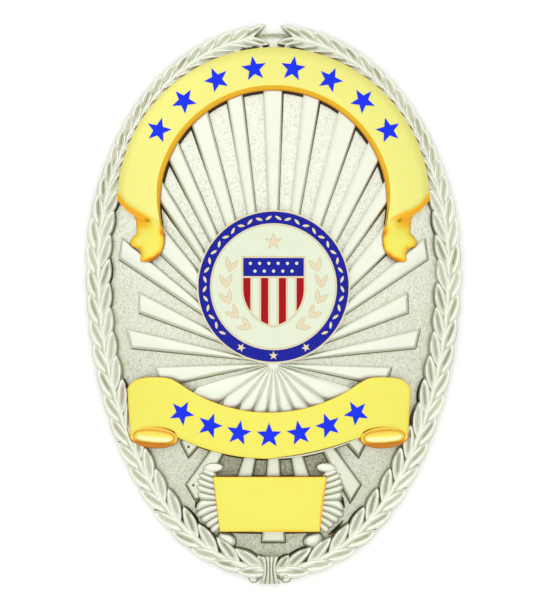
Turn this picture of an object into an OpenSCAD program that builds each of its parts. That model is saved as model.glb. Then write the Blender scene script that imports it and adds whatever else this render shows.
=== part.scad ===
// Oval badge of struck, plated brass, lying face up on its rim. Units are millimetres.
// X runs across the badge, Y runs up its face and Z comes out of its face.

/* [Badge] */
// Height over the leaf tips
badge_h = 76.2; // [75:0.1:78]
// Width over the leaf tips
badge_w = 51.3; // [50.6:0.1:52]
// Height of the widest line above the middle
waist_y = 5; // [4.5:0.1:5.5]
// Height of the face at its crown
crown_z = 4.8; // [4.6:0.1:5.2]
// Fall of the face from its crown to the leaf tips
dome_drop = 4.2; // [4:0.1:4.4]
// Thickness of the sheet at its crown
sheet_t = 1.2; // [1:0.1:1.4]

/* [Rays] */
// Height of the point that the rays start from
focus_y = -8.05; // [-8.2:0.05:-7.9]
// Height of the ray tops over the face
ray_h = 0.6; // [0.4:0.05:0.6]
// Width of the bevel along each ray
ray_bevel = 0.3; // [0.2:0.05:0.4]

/* [Wreath] */
// Distance from the leaf tips in to the stem
stem_inset = 1.75; // [1.7:0.05:1.9]
// Distance from one pair of leaves to the next, at the foot
leaf_pitch = 3.3; // [3.2:0.05:3.4]
// How much closer the last pairs sit
pitch_loss = 0.7; // [0.5:0.1:0.8]
// Length of a leaf
leaf_l = 4.5; // [4.3:0.1:4.7]
// Width of a leaf
leaf_w = 1.75; // [1.6:0.05:1.9]
// Turn of an outer leaf away from the stem, at the widest line
outer_splay = 16; // [14:1:17]
// Turn of an inner leaf away from the stem, at the widest line
inner_splay = 18; // [16:1:20]
// How much further the leaves turn at the top and at the foot
end_splay = 5; // [3:1:6]
// Height of a leaf's ridge over the face
leaf_h = 1.3; // [1.1:0.05:1.4]

/* [Panels] */
// Height of the gold panels over the face
panel_h = 1.55; // [1.4:0.05:1.6]
// Height of the banner's centre
banner_y = 13.5; // [13.4:0.05:13.6]
// Radius of the banner's outer edge
banner_r = 21.2; // [21:0.05:21.3]
// Radius of the banner's inner edge
banner_in_r = 15.5; // [15.3:0.05:15.8]
// Sideways shift of the lower ribbon
ribbon_x = -0.6; // [-0.7:0.1:0]
// Sideways shift of the number plate
plate_x = -0.5; // [-0.6:0.1:0]

/* [Seal] */
// Height of the seal's centre
seal_y = 2.27; // [2.2:0.01:2.3]
// Radius of the seal
seal_r = 10.35; // [10.3:0.05:10.4]
// Inner radius of the blue ring
ring_r = 8.45; // [8.3:0.05:8.6]
// Width of the metal lines between the enamels
line_w = 0.2; // [0.16:0.01:0.24]

/* [Hidden] */
$fn = 96;

// Gap between pieces, and the most that any piece reaches up
gap = 0.05;
tall = 12;

// The face is a cap of a half ellipsoid above its waist and one below
cap_k = 1.6;
cap_c = dome_drop / (1 - sqrt(1 - 1 / pow(cap_k, 2)));
sheet_edge = 0.955;
rim_in_edge = 0.922;
cap_in_c = (crown_z - sheet_t) / (1 - sqrt(1 - pow(rim_in_edge / cap_k, 2)));

function half_h(y) = badge_h / 2 - (y > waist_y ? waist_y : -waist_y);
function reach(p) = pow(p.x * 2 / badge_w, 2) + pow((p.y - waist_y) / half_h(p.y), 2);
function face_z(p) = crown_z - cap_c * (1 - sqrt(1 - reach(p) / pow(cap_k, 2)));
function lifted(p, lift) = [p.x, p.y, face_z(p) + lift];
function along(deg) = [cos(deg), sin(deg)];

module half_cap(half, top_z, c) {
    translate([0, 0, top_z - c]) scale([cap_k * badge_w / 2, cap_k * half, c]) intersection() {
        sphere(1, $fn = 160);
        translate([-2, 0, 0.4]) cube([4, 2, 1]);
    }
}

module cap(top_z, c) {
    translate([0, waist_y, 0]) {
        half_cap(half_h(waist_y + 1), top_z, c);
        mirror([0, 1, 0]) half_cap(half_h(waist_y), top_z, c);
    }
}

// Whatever flat outline it is given, standing on the face from one height to another
module on_face(low, high) {
    intersection() {
        linear_extrude(tall) children();
        difference() {
            cap(crown_z + high, cap_c);
            cap(crown_z + low, cap_c);
        }
    }
}

module both_sides() {
    children();
    mirror([1, 0, 0]) children();
}

module oval(rx, ry) {
    scale([rx, ry]) circle(1);
}

module badge_outline(edge) {
    translate([0, waist_y]) {
        intersection() {
            oval(edge * badge_w / 2, edge * half_h(waist_y + 1));
            translate([-badge_w, 0]) square([2 * badge_w, badge_h]);
        }
        intersection() {
            oval(edge * badge_w / 2, edge * half_h(waist_y));
            translate([-badge_w, -badge_h]) square([2 * badge_w, badge_h]);
        }
    }
}

// Domed sheet with a hollow back, a flat rim to lie on and a flat seat for the seal
seat_r = 10;
seat_z = crown_z + 0.46;

module back_plate() {
    color([0.86, 0.86, 0.8]) difference() {
        union() {
            intersection() {
                cap(crown_z, cap_c);
                linear_extrude(tall) badge_outline(sheet_edge);
            }
            translate([0, seal_y, crown_z - 1]) cylinder(r = seat_r, h = seat_z - crown_z + 1);
        }
        cap(crown_z - sheet_t, cap_in_c);
    }
}

// Rays, a row for each: both edges in degrees from straight up, and how far out each edge ends
under_banner = 0;
RAYS = [
    // from, to, from_end, to_end
    [6.3, 10.3, under_banner, under_banner],
    [14.5, 19.5, under_banner, under_banner],
    [23.2, 27.9, under_banner, under_banner],
    [31.4, 35.9, under_banner, under_banner],
    [39, 46.5, under_banner, 21.4],
    [50.4, 56.5, 26.7, 25.2],
    [62.3, 70, 20.6, 19.5],
    [77, 84.5, 20.5, 19.4],
    [92, 102.5, 16.1, 15.6],
    [109, 122, 13, 13],
    [130, 138.5, 16.6, 17.4],
    [144, 151.6, 20.4, 21.8],
    [162, 170, 20, 20]
];
TOP_RAY = [-2.2, 2.2, under_banner, under_banner];
LOW_RAY = [176, 184, 24.5, 24.5];
ray_steps = 4;
ray_gap = 0.09;

seat_up = seal_y - focus_y;
banner_up = banner_y - focus_y;
function to_circle(up, r, deg) = up * cos(deg) + sqrt(max(0, r * r - pow(up * sin(deg), 2)));
function ray_start(deg) = abs(deg) < 74 ? to_circle(seat_up, seat_r, deg) - 0.6 : 0.35;
function ray_end(deg, stated) = stated > 0 ? stated : to_circle(banner_up, banner_in_r + 0.6, deg);
function from_focus(deg, out) = [0, focus_y] + out * [sin(deg), cos(deg)];
function mix(a, b, k) = a + (b - a) * k;

// The four corners of a ray at step k of its length, 0 to 1, as [low, top, top, low]
function ray_section(row, k) =
    let (
        out_a = mix(ray_start(row[0]), ray_end(row[0], row[2]), k),
        out_b = mix(ray_start(row[1]), ray_end(row[1], row[3]), k),
        a = from_focus(row[0], out_a),
        b = from_focus(row[1], out_b),
        wide = norm(b - a),
        inset = min(0.35, ray_bevel / wide),
        pull = k == 1 ? 1 - ray_bevel / out_a : 1,
        focus = [0, focus_y],
        high = ray_h * min(1, wide / 0.8)
    )
    [
        lifted(a, ray_gap),
        lifted(focus + (mix(a, b, inset) - focus) * pull, high),
        lifted(focus + (mix(b, a, inset) - focus) * pull, high),
        lifted(b, ray_gap)
    ];

module convex(points) {
    hull() polyhedron(points = points, faces = [for (i = [2 : len(points) - 1]) [i - 2, i - 1, i]]);
}

module ray(row) {
    for (i = [0 : ray_steps - 1])
        convex(concat(ray_section(row, i / ray_steps), ray_section(row, (i + 1) / ray_steps)));
}

// Thin ring under the seal's overhang that ties the rays together
module collar() {
    turns = 24;
    // The joints between the ring's pieces stay clear of the corners of the circle that cuts it
    first = 0.1;
    for (i = [0 : turns - 1])
        convex([for (deg = [i + first, i + 1 + first] * 360 / turns)
            let (
                inner = [0, seal_y] + (seat_r - 0.1) * along(deg),
                outer = [0, seal_y] + (seal_r - 0.05) * along(deg)
            )
            each [for (height = [ray_gap, ray_h / 2]) each [lifted(inner, height), lifted(outer, height)]]
        ]);
}

module sunburst() {
    color([0.92, 0.92, 0.86]) difference() {
        union() {
            collar();
            ray(TOP_RAY);
            ray(LOW_RAY);
            both_sides() for (row = RAYS) ray(row);
        }
        linear_extrude(tall) {
            translate([0, seal_y]) circle(seat_r + gap);
            offset(delta = gap) {
                banner_outline();
                ribbon_outline();
                plate_outline();
                scroll_side(true) scroll_outline();
                scroll_side(false) scroll_outline();
            }
        }
    }
}

// Wreath arm: a stem from the bottom to the top, with a pair of leaves at each pitch
stem_a = badge_w / 2 - stem_inset;
arm_step = 3;
function stem_b(deg) = half_h(deg > 0 ? waist_y + 1 : waist_y) - stem_inset;
function stem_at(deg) = [stem_a * cos(deg), waist_y + stem_b(deg) * sin(deg)];
arm_rows = [for (deg = -90, run = 0; deg <= 90;
    run = run + norm(stem_at(deg + arm_step) - stem_at(deg)), deg = deg + arm_step) [run, deg]];
arm_l = arm_rows[len(arm_rows) - 1][0];
function arm_deg(run) = lookup(run, arm_rows);
function arm_at(run) = stem_at(arm_deg(run));
function arm_heading(run) =
    let (deg = arm_deg(run)) atan2(stem_b(deg) * cos(deg), -stem_a * sin(deg));

stem_w = 2;
stem_h = 0.55;
arm_start = 0.35;
arm_stop = arm_l - 2.6;
leaf_pairs = floor((arm_stop - arm_start - 2) / (leaf_pitch - pitch_loss / 2));
function pair_run(i) = arm_start + 0.1 + leaf_pitch * i - pitch_loss * i * i / (2 * leaf_pairs);
// How much further up the stem an inner leaf starts than its outer one
inner_lag = 1.3;
function splay_at(run, least) = least + end_splay * pow(sin(arm_deg(run)), 2);

// A plump leaf with a blunt tip: places along it, across it and over the face
module leaf(base, heading, long, wide, high) {
    function place(u, v, lift) =
        lifted(base + u * long * along(heading) + v * wide * along(heading + 90), lift);
    convex(concat(
        [place(0, 0, 0.15), place(0.15, 0, 0.5 * high), place(0.93, 0, 0.75 * high)],
        [for (v = [-1, 1]) each [
            place(0.3, 0.42 * v, 0.15), place(0.72, 0.5 * v, 0.15),
            place(1, 0.14 * v, 0.2), place(0.6, 0.25 * v, high)
        ]]
    ));
}

module stem() {
    pieces = 24;
    for (i = [0 : pieces - 1])
        convex([for (end = [i, i + 1])
            let (run = mix(arm_start, arm_stop, end / pieces), side = along(arm_heading(run) + 90))
            each [for (v = [-1, 1]) each [
                lifted(arm_at(run) + v * side * stem_w / 2, 0.1),
                lifted(arm_at(run) + v * side * stem_w / 3, stem_h)
            ]]
        ]);
}

// Tips of the last two leaves
outer_tip = [1.3, badge_h / 2 - 0.22];
inner_tip = [0.7, 35.2];

// One arm, turned to the left side or left on the right, and cut where other pieces stand
module wreath_arm(left) {
    color([0.9, 0.9, 0.84]) difference() {
        mirror([left ? 1 : 0, 0, 0]) {
            stem();
            for (i = [0 : leaf_pairs - 1]) {
                outer = pair_run(i);
                inner = outer + inner_lag;
                outward = arm_heading(outer + leaf_l / 2) - splay_at(outer, outer_splay);
                inward = arm_heading(inner + leaf_l / 2) + splay_at(inner, inner_splay);
                leaf(arm_at(outer), outward, leaf_l, leaf_w, leaf_h);
                leaf(arm_at(inner), inward, leaf_l, leaf_w, leaf_h);
            }
            for (last = [[arm_stop - 2.6, outer_tip], [arm_stop - 1.6, inner_tip]]) {
                way = last[1] - arm_at(last[0]);
                leaf(arm_at(last[0]), atan2(way.y, way.x), norm(way), leaf_w, leaf_h);
            }
        }
        linear_extrude(tall) {
            offset(delta = gap) {
                banner_outline();
                ribbon_outline();
                tie_outline();
                scroll_side(left) scroll_outline();
            }
        }
    }
}

module wreath_right() {
    wreath_arm(false);
}

module wreath_left() {
    wreath_arm(true);
}

// Tie at the foot of the wreath: a fluted sheaf with a curl on each side
tie_x = -0.5;
tie_top = -34.25;
tie_bottom = -badge_h / 2;
tie_waist_y = -35.8;
tie_curl = [2.1, -37.1];
tie_curl_r = 0.55;
tie_flutes = 4;
tie_spread = [1.9, 2.2];
tie_waist = 1.3;
flute_w = 0.36;

module flute(place) {
    for (half = [[tie_top + flute_w / 2, tie_spread[0]], [tie_bottom + flute_w / 2, tie_spread[1]]]) hull() {
        translate([place * half[1] / 2, half[0]]) circle(flute_w / 2, $fn = 16);
        translate([place * tie_waist / 2, tie_waist_y]) circle(flute_w / 2, $fn = 16);
    }
}

module tie_outline() {
    top = tie_spread[0] / 2 + 0.2;
    low = tie_spread[1] / 2 + 0.2;
    waist = tie_waist / 2 + 0.2;
    translate([tie_x, 0]) {
        polygon([
            [-top, tie_top], [top, tie_top], [waist, tie_waist_y],
            [low, tie_bottom], [-low, tie_bottom], [-waist, tie_waist_y]
        ]);
        both_sides() hull() {
            translate(tie_curl) circle(tie_curl_r, $fn = 32);
            translate([tie_waist / 2, tie_curl.y]) circle(tie_curl_r / 2, $fn = 32);
        }
    }
}

module wreath_tie() {
    color([0.88, 0.88, 0.82]) {
        on_face(gap, 1.2) tie_outline();
        on_face(1, 1.65) translate([tie_x, 0]) {
            for (i = [0 : tie_flutes - 1]) flute(2 * i / (tie_flutes - 1) - 1);
            both_sides() translate(tie_curl) circle(tie_curl_r - 0.15, $fn = 32);
        }
    }
}

// Upper banner: an arc of ribbon with a turned-under tail at each end
tail = [-17.1, 8.05];
tail_r = 2.42;

module tail_outline() {
    difference() {
        union() {
            translate(tail) circle(tail_r, $fn = 64);
            translate([-18.6, tail.y]) square([3.2, 3.6]);
            translate([-18.55, 8.3]) circle(0.85, $fn = 32);
        }
        translate([-19, 6.35]) circle(1.1, $fn = 32);
    }
}

module banner_outline() {
    difference() {
        translate([0, banner_y]) circle(banner_r, $fn = 128);
        translate([0, banner_y]) circle(banner_in_r, $fn = 128);
        polygon([
            [-22, 14.4], [-21.1, 13.9], [-20.1, 12.65], [-18.6, 11.7], [-15, 10.6], [0, 10.4],
            [15, 10.6], [18.6, 11.7], [20.1, 12.65], [21.1, 13.9], [22, 14.4], [22, -8], [-22, -8]
        ]);
    }
    both_sides() tail_outline();
}

module upper_banner() {
    color([0.96, 0.92, 0.45]) {
        on_face(gap, panel_h) difference() {
            banner_outline();
            both_sides() intersection() {
                tail_outline();
                translate([-22, 0]) square([10, 11.2]);
            }
        }
        both_sides() on_face(gap, panel_h - 0.3) intersection() {
            tail_outline();
            translate([-22, 0]) square([10, 11.25]);
        }
    }
}

// Blue enamel stars, laid on the panels
star_r = 1.75;
star_in = 0.42;
enamel_h = 0.12;
upper_star_at = [for (i = [-3.5 : 1 : 3.5]) i * 16.4];
upper_star_r = 18.45;
// Places across the ribbon
lower_star_at = [-11.8, -8, -4.1, 0, 4.1, 8, 11.8];
lower_star_y = 6.4;
lower_star_r = 24.25;

module star(r, inner) {
    polygon([for (i = [0 : 9]) (i % 2 == 0 ? r : r * inner) * along(90 + i * 36)]);
}

module upper_stars() {
    color([0.1, 0.2, 0.9]) on_face(panel_h + 0.02, panel_h + enamel_h)
        for (deg = upper_star_at)
            translate([0, banner_y]) rotate(-deg) translate([0, upper_star_r]) star(star_r, star_in);
}

module lower_stars() {
    color([0.1, 0.2, 0.9]) on_face(panel_h + 0.02, panel_h + enamel_h)
        for (x = lower_star_at) {
            deg = asin(x / lower_star_r);
            translate([ribbon_x, lower_star_y]) rotate(deg) translate([0, -lower_star_r])
                star(star_r, star_in);
        }
}

// Lower ribbon: a hanging band with a rolled end on each side
ribbon_top_r = 20.7;
ribbon_top_y = 6;
ribbon_low_r = 28;
ribbon_low_y = 7;
ribbon_bend = 12.6;
roll = [15.6, -18.1];
roll_rx = 3.3;
roll_ry = 1.45;
roll_turn = 4;

module ribbon_band() {
    intersection() {
        difference() {
            translate([0, ribbon_low_y]) circle(ribbon_low_r, $fn = 160);
            translate([0, ribbon_top_y]) circle(ribbon_top_r, $fn = 160);
        }
        translate([-ribbon_bend, -25]) square([2 * ribbon_bend, 15]);
    }
}

module ribbon_end() {
    polygon([
        [ribbon_bend - 0.4, -10.55], [13.2, -10.15], [14, -9.99], [15.2, -9.93], [16.6, -9.97],
        [17.8, -10.2], [18.7, -10.7], [19.2, -11.5], [18.95, -14.5], [18.8, -18], [ribbon_bend - 0.4, -18]
    ]);
}

module rolls(size) {
    translate([ribbon_x, 0]) both_sides()
        translate(roll) rotate(roll_turn) oval(size * roll_rx, size * roll_ry);
}

module ribbon_outline() {
    translate([ribbon_x, 0]) {
        ribbon_band();
        both_sides() ribbon_end();
    }
    rolls(1);
}

module lower_ribbon() {
    color([0.96, 0.92, 0.4]) {
        on_face(gap, panel_h) difference() {
            ribbon_outline();
            rolls(1);
        }
        on_face(gap, panel_h - 0.5) rolls(1.01);
        on_face(panel_h - 0.6, panel_h - 0.1) difference() {
            rolls(1);
            rolls(0.78);
        }
        on_face(panel_h - 0.6, panel_h - 0.15) rolls(0.5);
    }
}

// Number plate, left bare
plate_top = -23.4;
plate_low = -30.9;
plate_top_w = 15.4;
plate_low_w = 13.6;

module plate_outline() {
    translate([plate_x, 0]) polygon([
        [-plate_top_w / 2, plate_top], [plate_top_w / 2, plate_top],
        [plate_low_w / 2, plate_low], [-plate_low_w / 2, plate_low]
    ]);
}

module number_plate() {
    color([0.96, 0.92, 0.4]) on_face(gap, panel_h) plate_outline();
}

// Scroll beside the number plate: a fluted body between two curls, drawn for the right side
scroll_x = 7.2;
top_curl = [8.1, -22.2];
low_curl = [6.9, -32];
scroll_ribs = 9;
rib_w = 0.5;

module scroll_body() {
    difference() {
        translate([5.6, -26.4]) oval(4.6, 5.4);
        translate([-scroll_x, -40]) square([2 * scroll_x, 20]);
        translate([0, plate_low - 10]) square([20, 10]);
    }
}

module scroll_curls() {
    translate(top_curl) oval(1.35, 0.75);
    hull() {
        translate(low_curl) circle(1, $fn = 32);
        translate(low_curl + [0.3, 0.9]) circle(0.8, $fn = 32);
    }
}

module scroll_outline() {
    scroll_body();
    scroll_curls();
}

// Turns what is drawn for the right side to the left one, about the middle of the plate
module scroll_side(left) {
    translate([left ? 2 * plate_x : 0, 0]) mirror([left ? 1 : 0, 0]) children();
}

module scroll_flutes() {
    intersection() {
        scroll_body();
        for (i = [0 : scroll_ribs - 1])
            translate([scroll_x - 0.4, -23.4 - i * 0.82]) rotate(18 - 4 * i)
                translate([0, -rib_w / 2]) square([5, rib_w]);
    }
}

module scroll(left) {
    color([0.88, 0.88, 0.82]) difference() {
        union() {
            on_face(gap, 0.7) scroll_side(left) scroll_outline();
            on_face(0.5, 1.05) scroll_side(left) scroll_flutes();
            on_face(0.5, 1.35) scroll_side(left) scroll_curls();
        }
        linear_extrude(tall) scroll_side(left) polygon([
            [plate_x - plate_top_w / 2, plate_top + gap],
            [plate_x + plate_top_w / 2 + gap, plate_top + gap],
            [plate_x + plate_low_w / 2 + gap, plate_low - gap],
            [plate_x - plate_low_w / 2, plate_low - gap]
        ]);
    }
}

module scroll_right() {
    scroll(false);
}

module scroll_left() {
    scroll(true);
}

// Seal: a metal disc with raised lines, and enamels that fill the hollows between them
seal_low = seat_z + 0.03;
seal_floor = 0.34;
seal_t = 0.68;
fit = 0.03;
shield_w = 8.4;
shield_top = 4;
shield_knee = -0.3;
shield_tip = -5.4;
chief_h = 2.7;
stripes = 7;
ring_leaves = 34;
ring_star_deg = [-118, -90, -62];

module shield(grow) {
    half = shield_w / 2 + grow;
    drop = shield_knee - shield_tip + grow;
    bow = (half * half + drop * drop) / (2 * half);
    translate([-half, shield_knee]) square([2 * half, shield_top + grow - shield_knee]);
    intersection() {
        translate([bow - half, shield_knee]) circle(bow);
        translate([half - bow, shield_knee]) circle(bow);
        translate([-half, shield_knee - 2 * drop]) square([2 * half, 2 * drop + fit]);
    }
}

module spray_leaf(long, wide) {
    bow = (long * long / 4 + wide * wide / 4) / wide;
    intersection() {
        translate([long / 2, bow - wide / 2]) circle(bow, $fn = 64);
        translate([long / 2, wide / 2 - bow]) circle(bow, $fn = 64);
    }
}

// Sprig of laurel beside the shield, drawn for the right side
sprig_r = 6.35;
sprig_leaves = 5;

module sprig(grow) {
    for (i = [0 : sprig_leaves - 1]) {
        deg = -60 + i * 20;
        translate(sprig_r * along(deg)) for (turn = [22, -30])
            rotate(deg + 90 + turn) translate([-0.15 - grow, 0]) spray_leaf(2 + 2 * grow, 0.62 + 2 * grow);
    }
}

module crest_star(grow) {
    translate([0, 6.1]) star(1.15 + 2 * grow, star_in);
}

// Ornament in the blue ring: leaf pairs round its top, and three stars at its foot
module ring_ornament(grow) {
    ring_mid = (seal_r - line_w + ring_r) / 2;
    for (i = [0 : ring_leaves - 1]) {
        deg = -42 + i * 264 / (ring_leaves - 1);
        rotate(deg) translate([ring_mid, 0]) rotate(i % 2 == 0 ? 62 : 118)
            translate([-0.5 - grow, 0]) spray_leaf(1 + 2 * grow, 0.34 + 2 * grow);
    }
    for (deg = ring_star_deg)
        rotate(deg) translate([ring_mid, 0]) rotate(90) star(0.6 + 2 * grow, star_in);
}

module stripe(i, grow) {
    wide = shield_w / stripes;
    intersection() {
        shield(-line_w / 2 - grow);
        translate([-shield_w / 2 + i * wide + line_w / 2 + grow, shield_tip])
            square([wide - line_w - 2 * grow, shield_top - chief_h - shield_tip - line_w / 2 - grow]);
    }
}

module chief(grow) {
    intersection() {
        shield(-line_w / 2 - grow);
        translate([-shield_w, shield_top - chief_h + line_w / 2 + grow]) square([2 * shield_w, chief_h]);
    }
}

module chief_dots(grow) {
    for (row = [0, 1]) for (i = [0 : 5 - row])
        translate([(i - 2.5 + row / 2) * 1.25, shield_top - 0.85 - row * 1.05])
            circle(0.2 + grow, $fn = 24);
}

module ring_flat(outer, inner) {
    difference() {
        circle(outer);
        circle(inner);
    }
}

// The hollows that each colour fills, and a little less of each for the enamel itself
module blue_flat(grow) {
    difference() {
        ring_flat(seal_r - line_w - grow, ring_r + line_w / 2 + grow);
        ring_ornament(grow);
    }
    chief(grow);
}

module white_flat(grow) {
    difference() {
        circle(ring_r - line_w / 2 - grow);
        shield(line_w / 2 + grow);
        both_sides() sprig(grow);
        crest_star(grow);
    }
    for (i = [1 : 2 : stripes - 2]) stripe(i, grow);
}

module red_flat(grow) {
    for (i = [0 : 2 : stripes - 1]) stripe(i, grow);
}

module seal_base() {
    color([0.88, 0.82, 0.66]) translate([0, seal_y, seal_low]) difference() {
        cylinder(r = seal_r, h = seal_t);
        translate([0, 0, seal_floor]) linear_extrude(seal_t) {
            blue_flat(0);
            white_flat(0);
            red_flat(0);
        }
    }
}

// Enamel of one colour, filled to just under the metal lines
module enamel() {
    translate([0, seal_y, seal_low + seal_floor + fit])
        linear_extrude(seal_t - seal_floor - 2 * fit) children();
}

module seal_blue() {
    color([0.1, 0.14, 0.65]) enamel() difference() {
        blue_flat(fit);
        chief_dots(fit);
    }
}

module seal_white() {
    color([0.94, 0.97, 0.88]) enamel() {
        white_flat(fit);
        chief_dots(0);
    }
}

module seal_red() {
    color([0.72, 0.02, 0.1]) enamel() red_flat(fit);
}

// Pin on the back: a strip along the hollow, a post at each end and the wire between them
pin_l = 26;
pin_y = 3;
strip_w = 2.6;
strip_t = 0.6;
strip_top = 2.95;
wire_r = 0.45;
wire_z = 1.15;
post_l = 2.2;

module back_pin() {
    color([0.8, 0.8, 0.78]) translate([0, pin_y, 0]) {
        translate([-strip_w / 2, -pin_l / 2, strip_top - strip_t]) cube([strip_w, pin_l, strip_t]);
        for (end = [-1, 1])
            translate([-strip_w / 2, end * (pin_l - post_l) / 2 - post_l / 2, wire_z - wire_r - 0.15])
                cube([strip_w, post_l, strip_top - wire_z]);
        translate([0, -pin_l / 2 + 0.1, wire_z]) rotate([-90, 0, 0])
            cylinder(r = wire_r, h = pin_l - 0.2, $fn = 32);
    }
}

back_plate();
sunburst();
wreath_left();
wreath_right();
wreath_tie();
upper_banner();
upper_stars();
lower_ribbon();
lower_stars();
number_plate();
scroll_left();
scroll_right();
seal_base();
seal_blue();
seal_white();
seal_red();
back_pin();
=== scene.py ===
"""Oval badge of struck and plated brass: a domed field with rays, a laurel wreath, gold panels and an
enamelled seal.

Sizes in the classes are millimetres, with X across the badge, Y up its face and Z out of it. Finished
meshes are metres. Every piece is worked flat, with Z as its height over the face, and then laid on
the dome.
"""

import logging
import math
from bisect import bisect_right
from collections.abc import Callable, Iterable, Sequence
from dataclasses import dataclass, field
from enum import Enum

import bmesh
import bpy
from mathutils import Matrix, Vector


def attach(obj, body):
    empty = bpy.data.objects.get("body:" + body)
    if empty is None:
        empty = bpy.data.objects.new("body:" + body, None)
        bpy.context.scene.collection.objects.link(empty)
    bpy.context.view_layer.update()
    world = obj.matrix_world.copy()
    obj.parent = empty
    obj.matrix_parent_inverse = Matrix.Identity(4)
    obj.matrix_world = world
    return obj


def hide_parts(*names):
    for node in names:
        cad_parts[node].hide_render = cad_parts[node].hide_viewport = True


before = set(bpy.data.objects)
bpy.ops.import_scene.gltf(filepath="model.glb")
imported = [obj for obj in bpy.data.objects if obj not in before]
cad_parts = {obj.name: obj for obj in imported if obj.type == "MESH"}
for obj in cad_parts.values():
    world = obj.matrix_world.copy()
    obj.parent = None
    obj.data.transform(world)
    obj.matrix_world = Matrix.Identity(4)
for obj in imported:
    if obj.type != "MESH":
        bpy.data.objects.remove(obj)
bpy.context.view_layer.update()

LOG = logging.getLogger("badge")
MM = 0.001
HOLLOW = "hollow"  # point attribute: tone and painted shade, 0 on what is polished, 1 for black painted shadow
GROUND = 0.02  # height over the face, in millimetres, at which raised work starts

Flat = tuple[float, float]
Three = tuple[float, float, float]
Four = tuple[float, float, float, float]
Colour = Three
Point = Four  # x, y, height over the face and hollow, its painted shade


def mixed(low: float, high: float, share: float) -> float:
    """Returns the number that lies a share of the way from low to high."""
    return low + (high - low) * share


def eased(value: float) -> float:
    """Returns value, held between 0 and 1, with both ends made gentle."""
    held = min(1.0, max(0.0, value))
    return held * held * (3 - 2 * held)


def along_table(table: Sequence[Flat], where: float) -> float:
    """Reads a table of pairs, straight between its rows and level beyond them.

    Args:
        table: Pairs of a place and its value, with rising places.
        where: The place to read.

    Returns:
        The value there.
    """
    places = [row[0] for row in table]
    if where <= places[0]:
        return table[0][1]
    if where >= places[-1]:
        return table[-1][1]
    after = bisect_right(places, where)
    (a, low), (b, high) = table[after - 1], table[after]
    return mixed(low, high, (where - a) / (b - a))


def turned(out: float, degrees: float) -> Flat:
    """Returns the point at a distance from the origin, in degrees from +X."""
    return out * math.cos(math.radians(degrees)), out * math.sin(math.radians(degrees))


def rounded(points: Sequence[Flat], per: int) -> list[Flat]:
    """Runs a smooth closed line through points.

    Args:
        points: Its corners in order.
        per: Points of the line for each corner.

    Returns:
        The line's points.
    """
    line = []
    for i in range(len(points)):
        a, b, c, d = (Vector(points[(i + j) % len(points)]) for j in (-1, 0, 1, 2))
        for step in range(per):
            t = step / per
            here = b + (c - a) * (t / 2) + (a - b * 2.5 + c * 2 - d / 2) * t**2
            here += (b * 1.5 - a / 2 - c * 1.5 + d / 2) * t**3
            line.append((here.x, here.y))
    return line


def nearest(point: Flat, line: Sequence[Flat]) -> Flat:
    """Returns the place on an open line of straight pieces that is nearest to a point."""
    found = []
    for a, b in zip(line, line[1:]):
        way = b[0] - a[0], b[1] - a[1]
        share = ((point[0] - a[0]) * way[0] + (point[1] - a[1]) * way[1]) / (way[0] ** 2 + way[1] ** 2)
        share = min(1.0, max(0.0, share))
        found.append((a[0] + way[0] * share, a[1] + way[1] * share))
    return min(found, key=lambda place: math.dist(place, point))


@dataclass(frozen=True)
class Dome:
    """The badge's face: a cap of one half ellipsoid above its widest line and of another below it."""

    height: float = 76.2
    width: float = 51.3
    waist_y: float = 5.0
    crown_z: float = 4.8
    drop: float = 4.2
    spread: float = 1.6
    sheet: float = 1.2
    edge: float = 0.955
    rim_in: float = 0.922

    def half_height(self, y: float) -> float:
        """Returns the half height of the outline on y's side of the widest line."""
        return self.height / 2 - (self.waist_y if y > self.waist_y else -self.waist_y)

    def reach(self, x: float, y: float) -> float:
        """Returns the square of how far out a point is, 1 at the leaf tips."""
        return (2 * x / self.width) ** 2 + ((y - self.waist_y) / self.half_height(y)) ** 2

    def face(self, x: float, y: float) -> float:
        """Returns the height of the outer face."""
        deep = self.drop / (1 - math.sqrt(1 - 1 / self.spread**2))
        return self.crown_z - deep * (1 - math.sqrt(1 - self.reach(x, y) / self.spread**2))

    def inside(self, x: float, y: float) -> float:
        """Returns the height of the hollow's ceiling."""
        top = self.crown_z - self.sheet
        deep = top / (1 - math.sqrt(1 - (self.rim_in / self.spread) ** 2))
        return max(0.0, top - deep * (1 - math.sqrt(1 - self.reach(x, y) / self.spread**2)))

    def at(self, share: float, degrees: float) -> Flat:
        """Returns the point at a share of the way out to the leaf tips, in degrees from +X."""
        x, y = turned(share, degrees)
        half = self.half_height(self.waist_y + y)
        return x * self.width / 2, self.waist_y + y * half


DOME = Dome()


class Slot(Enum):
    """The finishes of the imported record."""

    SILVER = "silver"
    BRIGHT_SILVER = "bright_silver"
    GOLD = "gold"
    BRIGHT_BLUE = "bright_blue_enamel"


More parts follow.
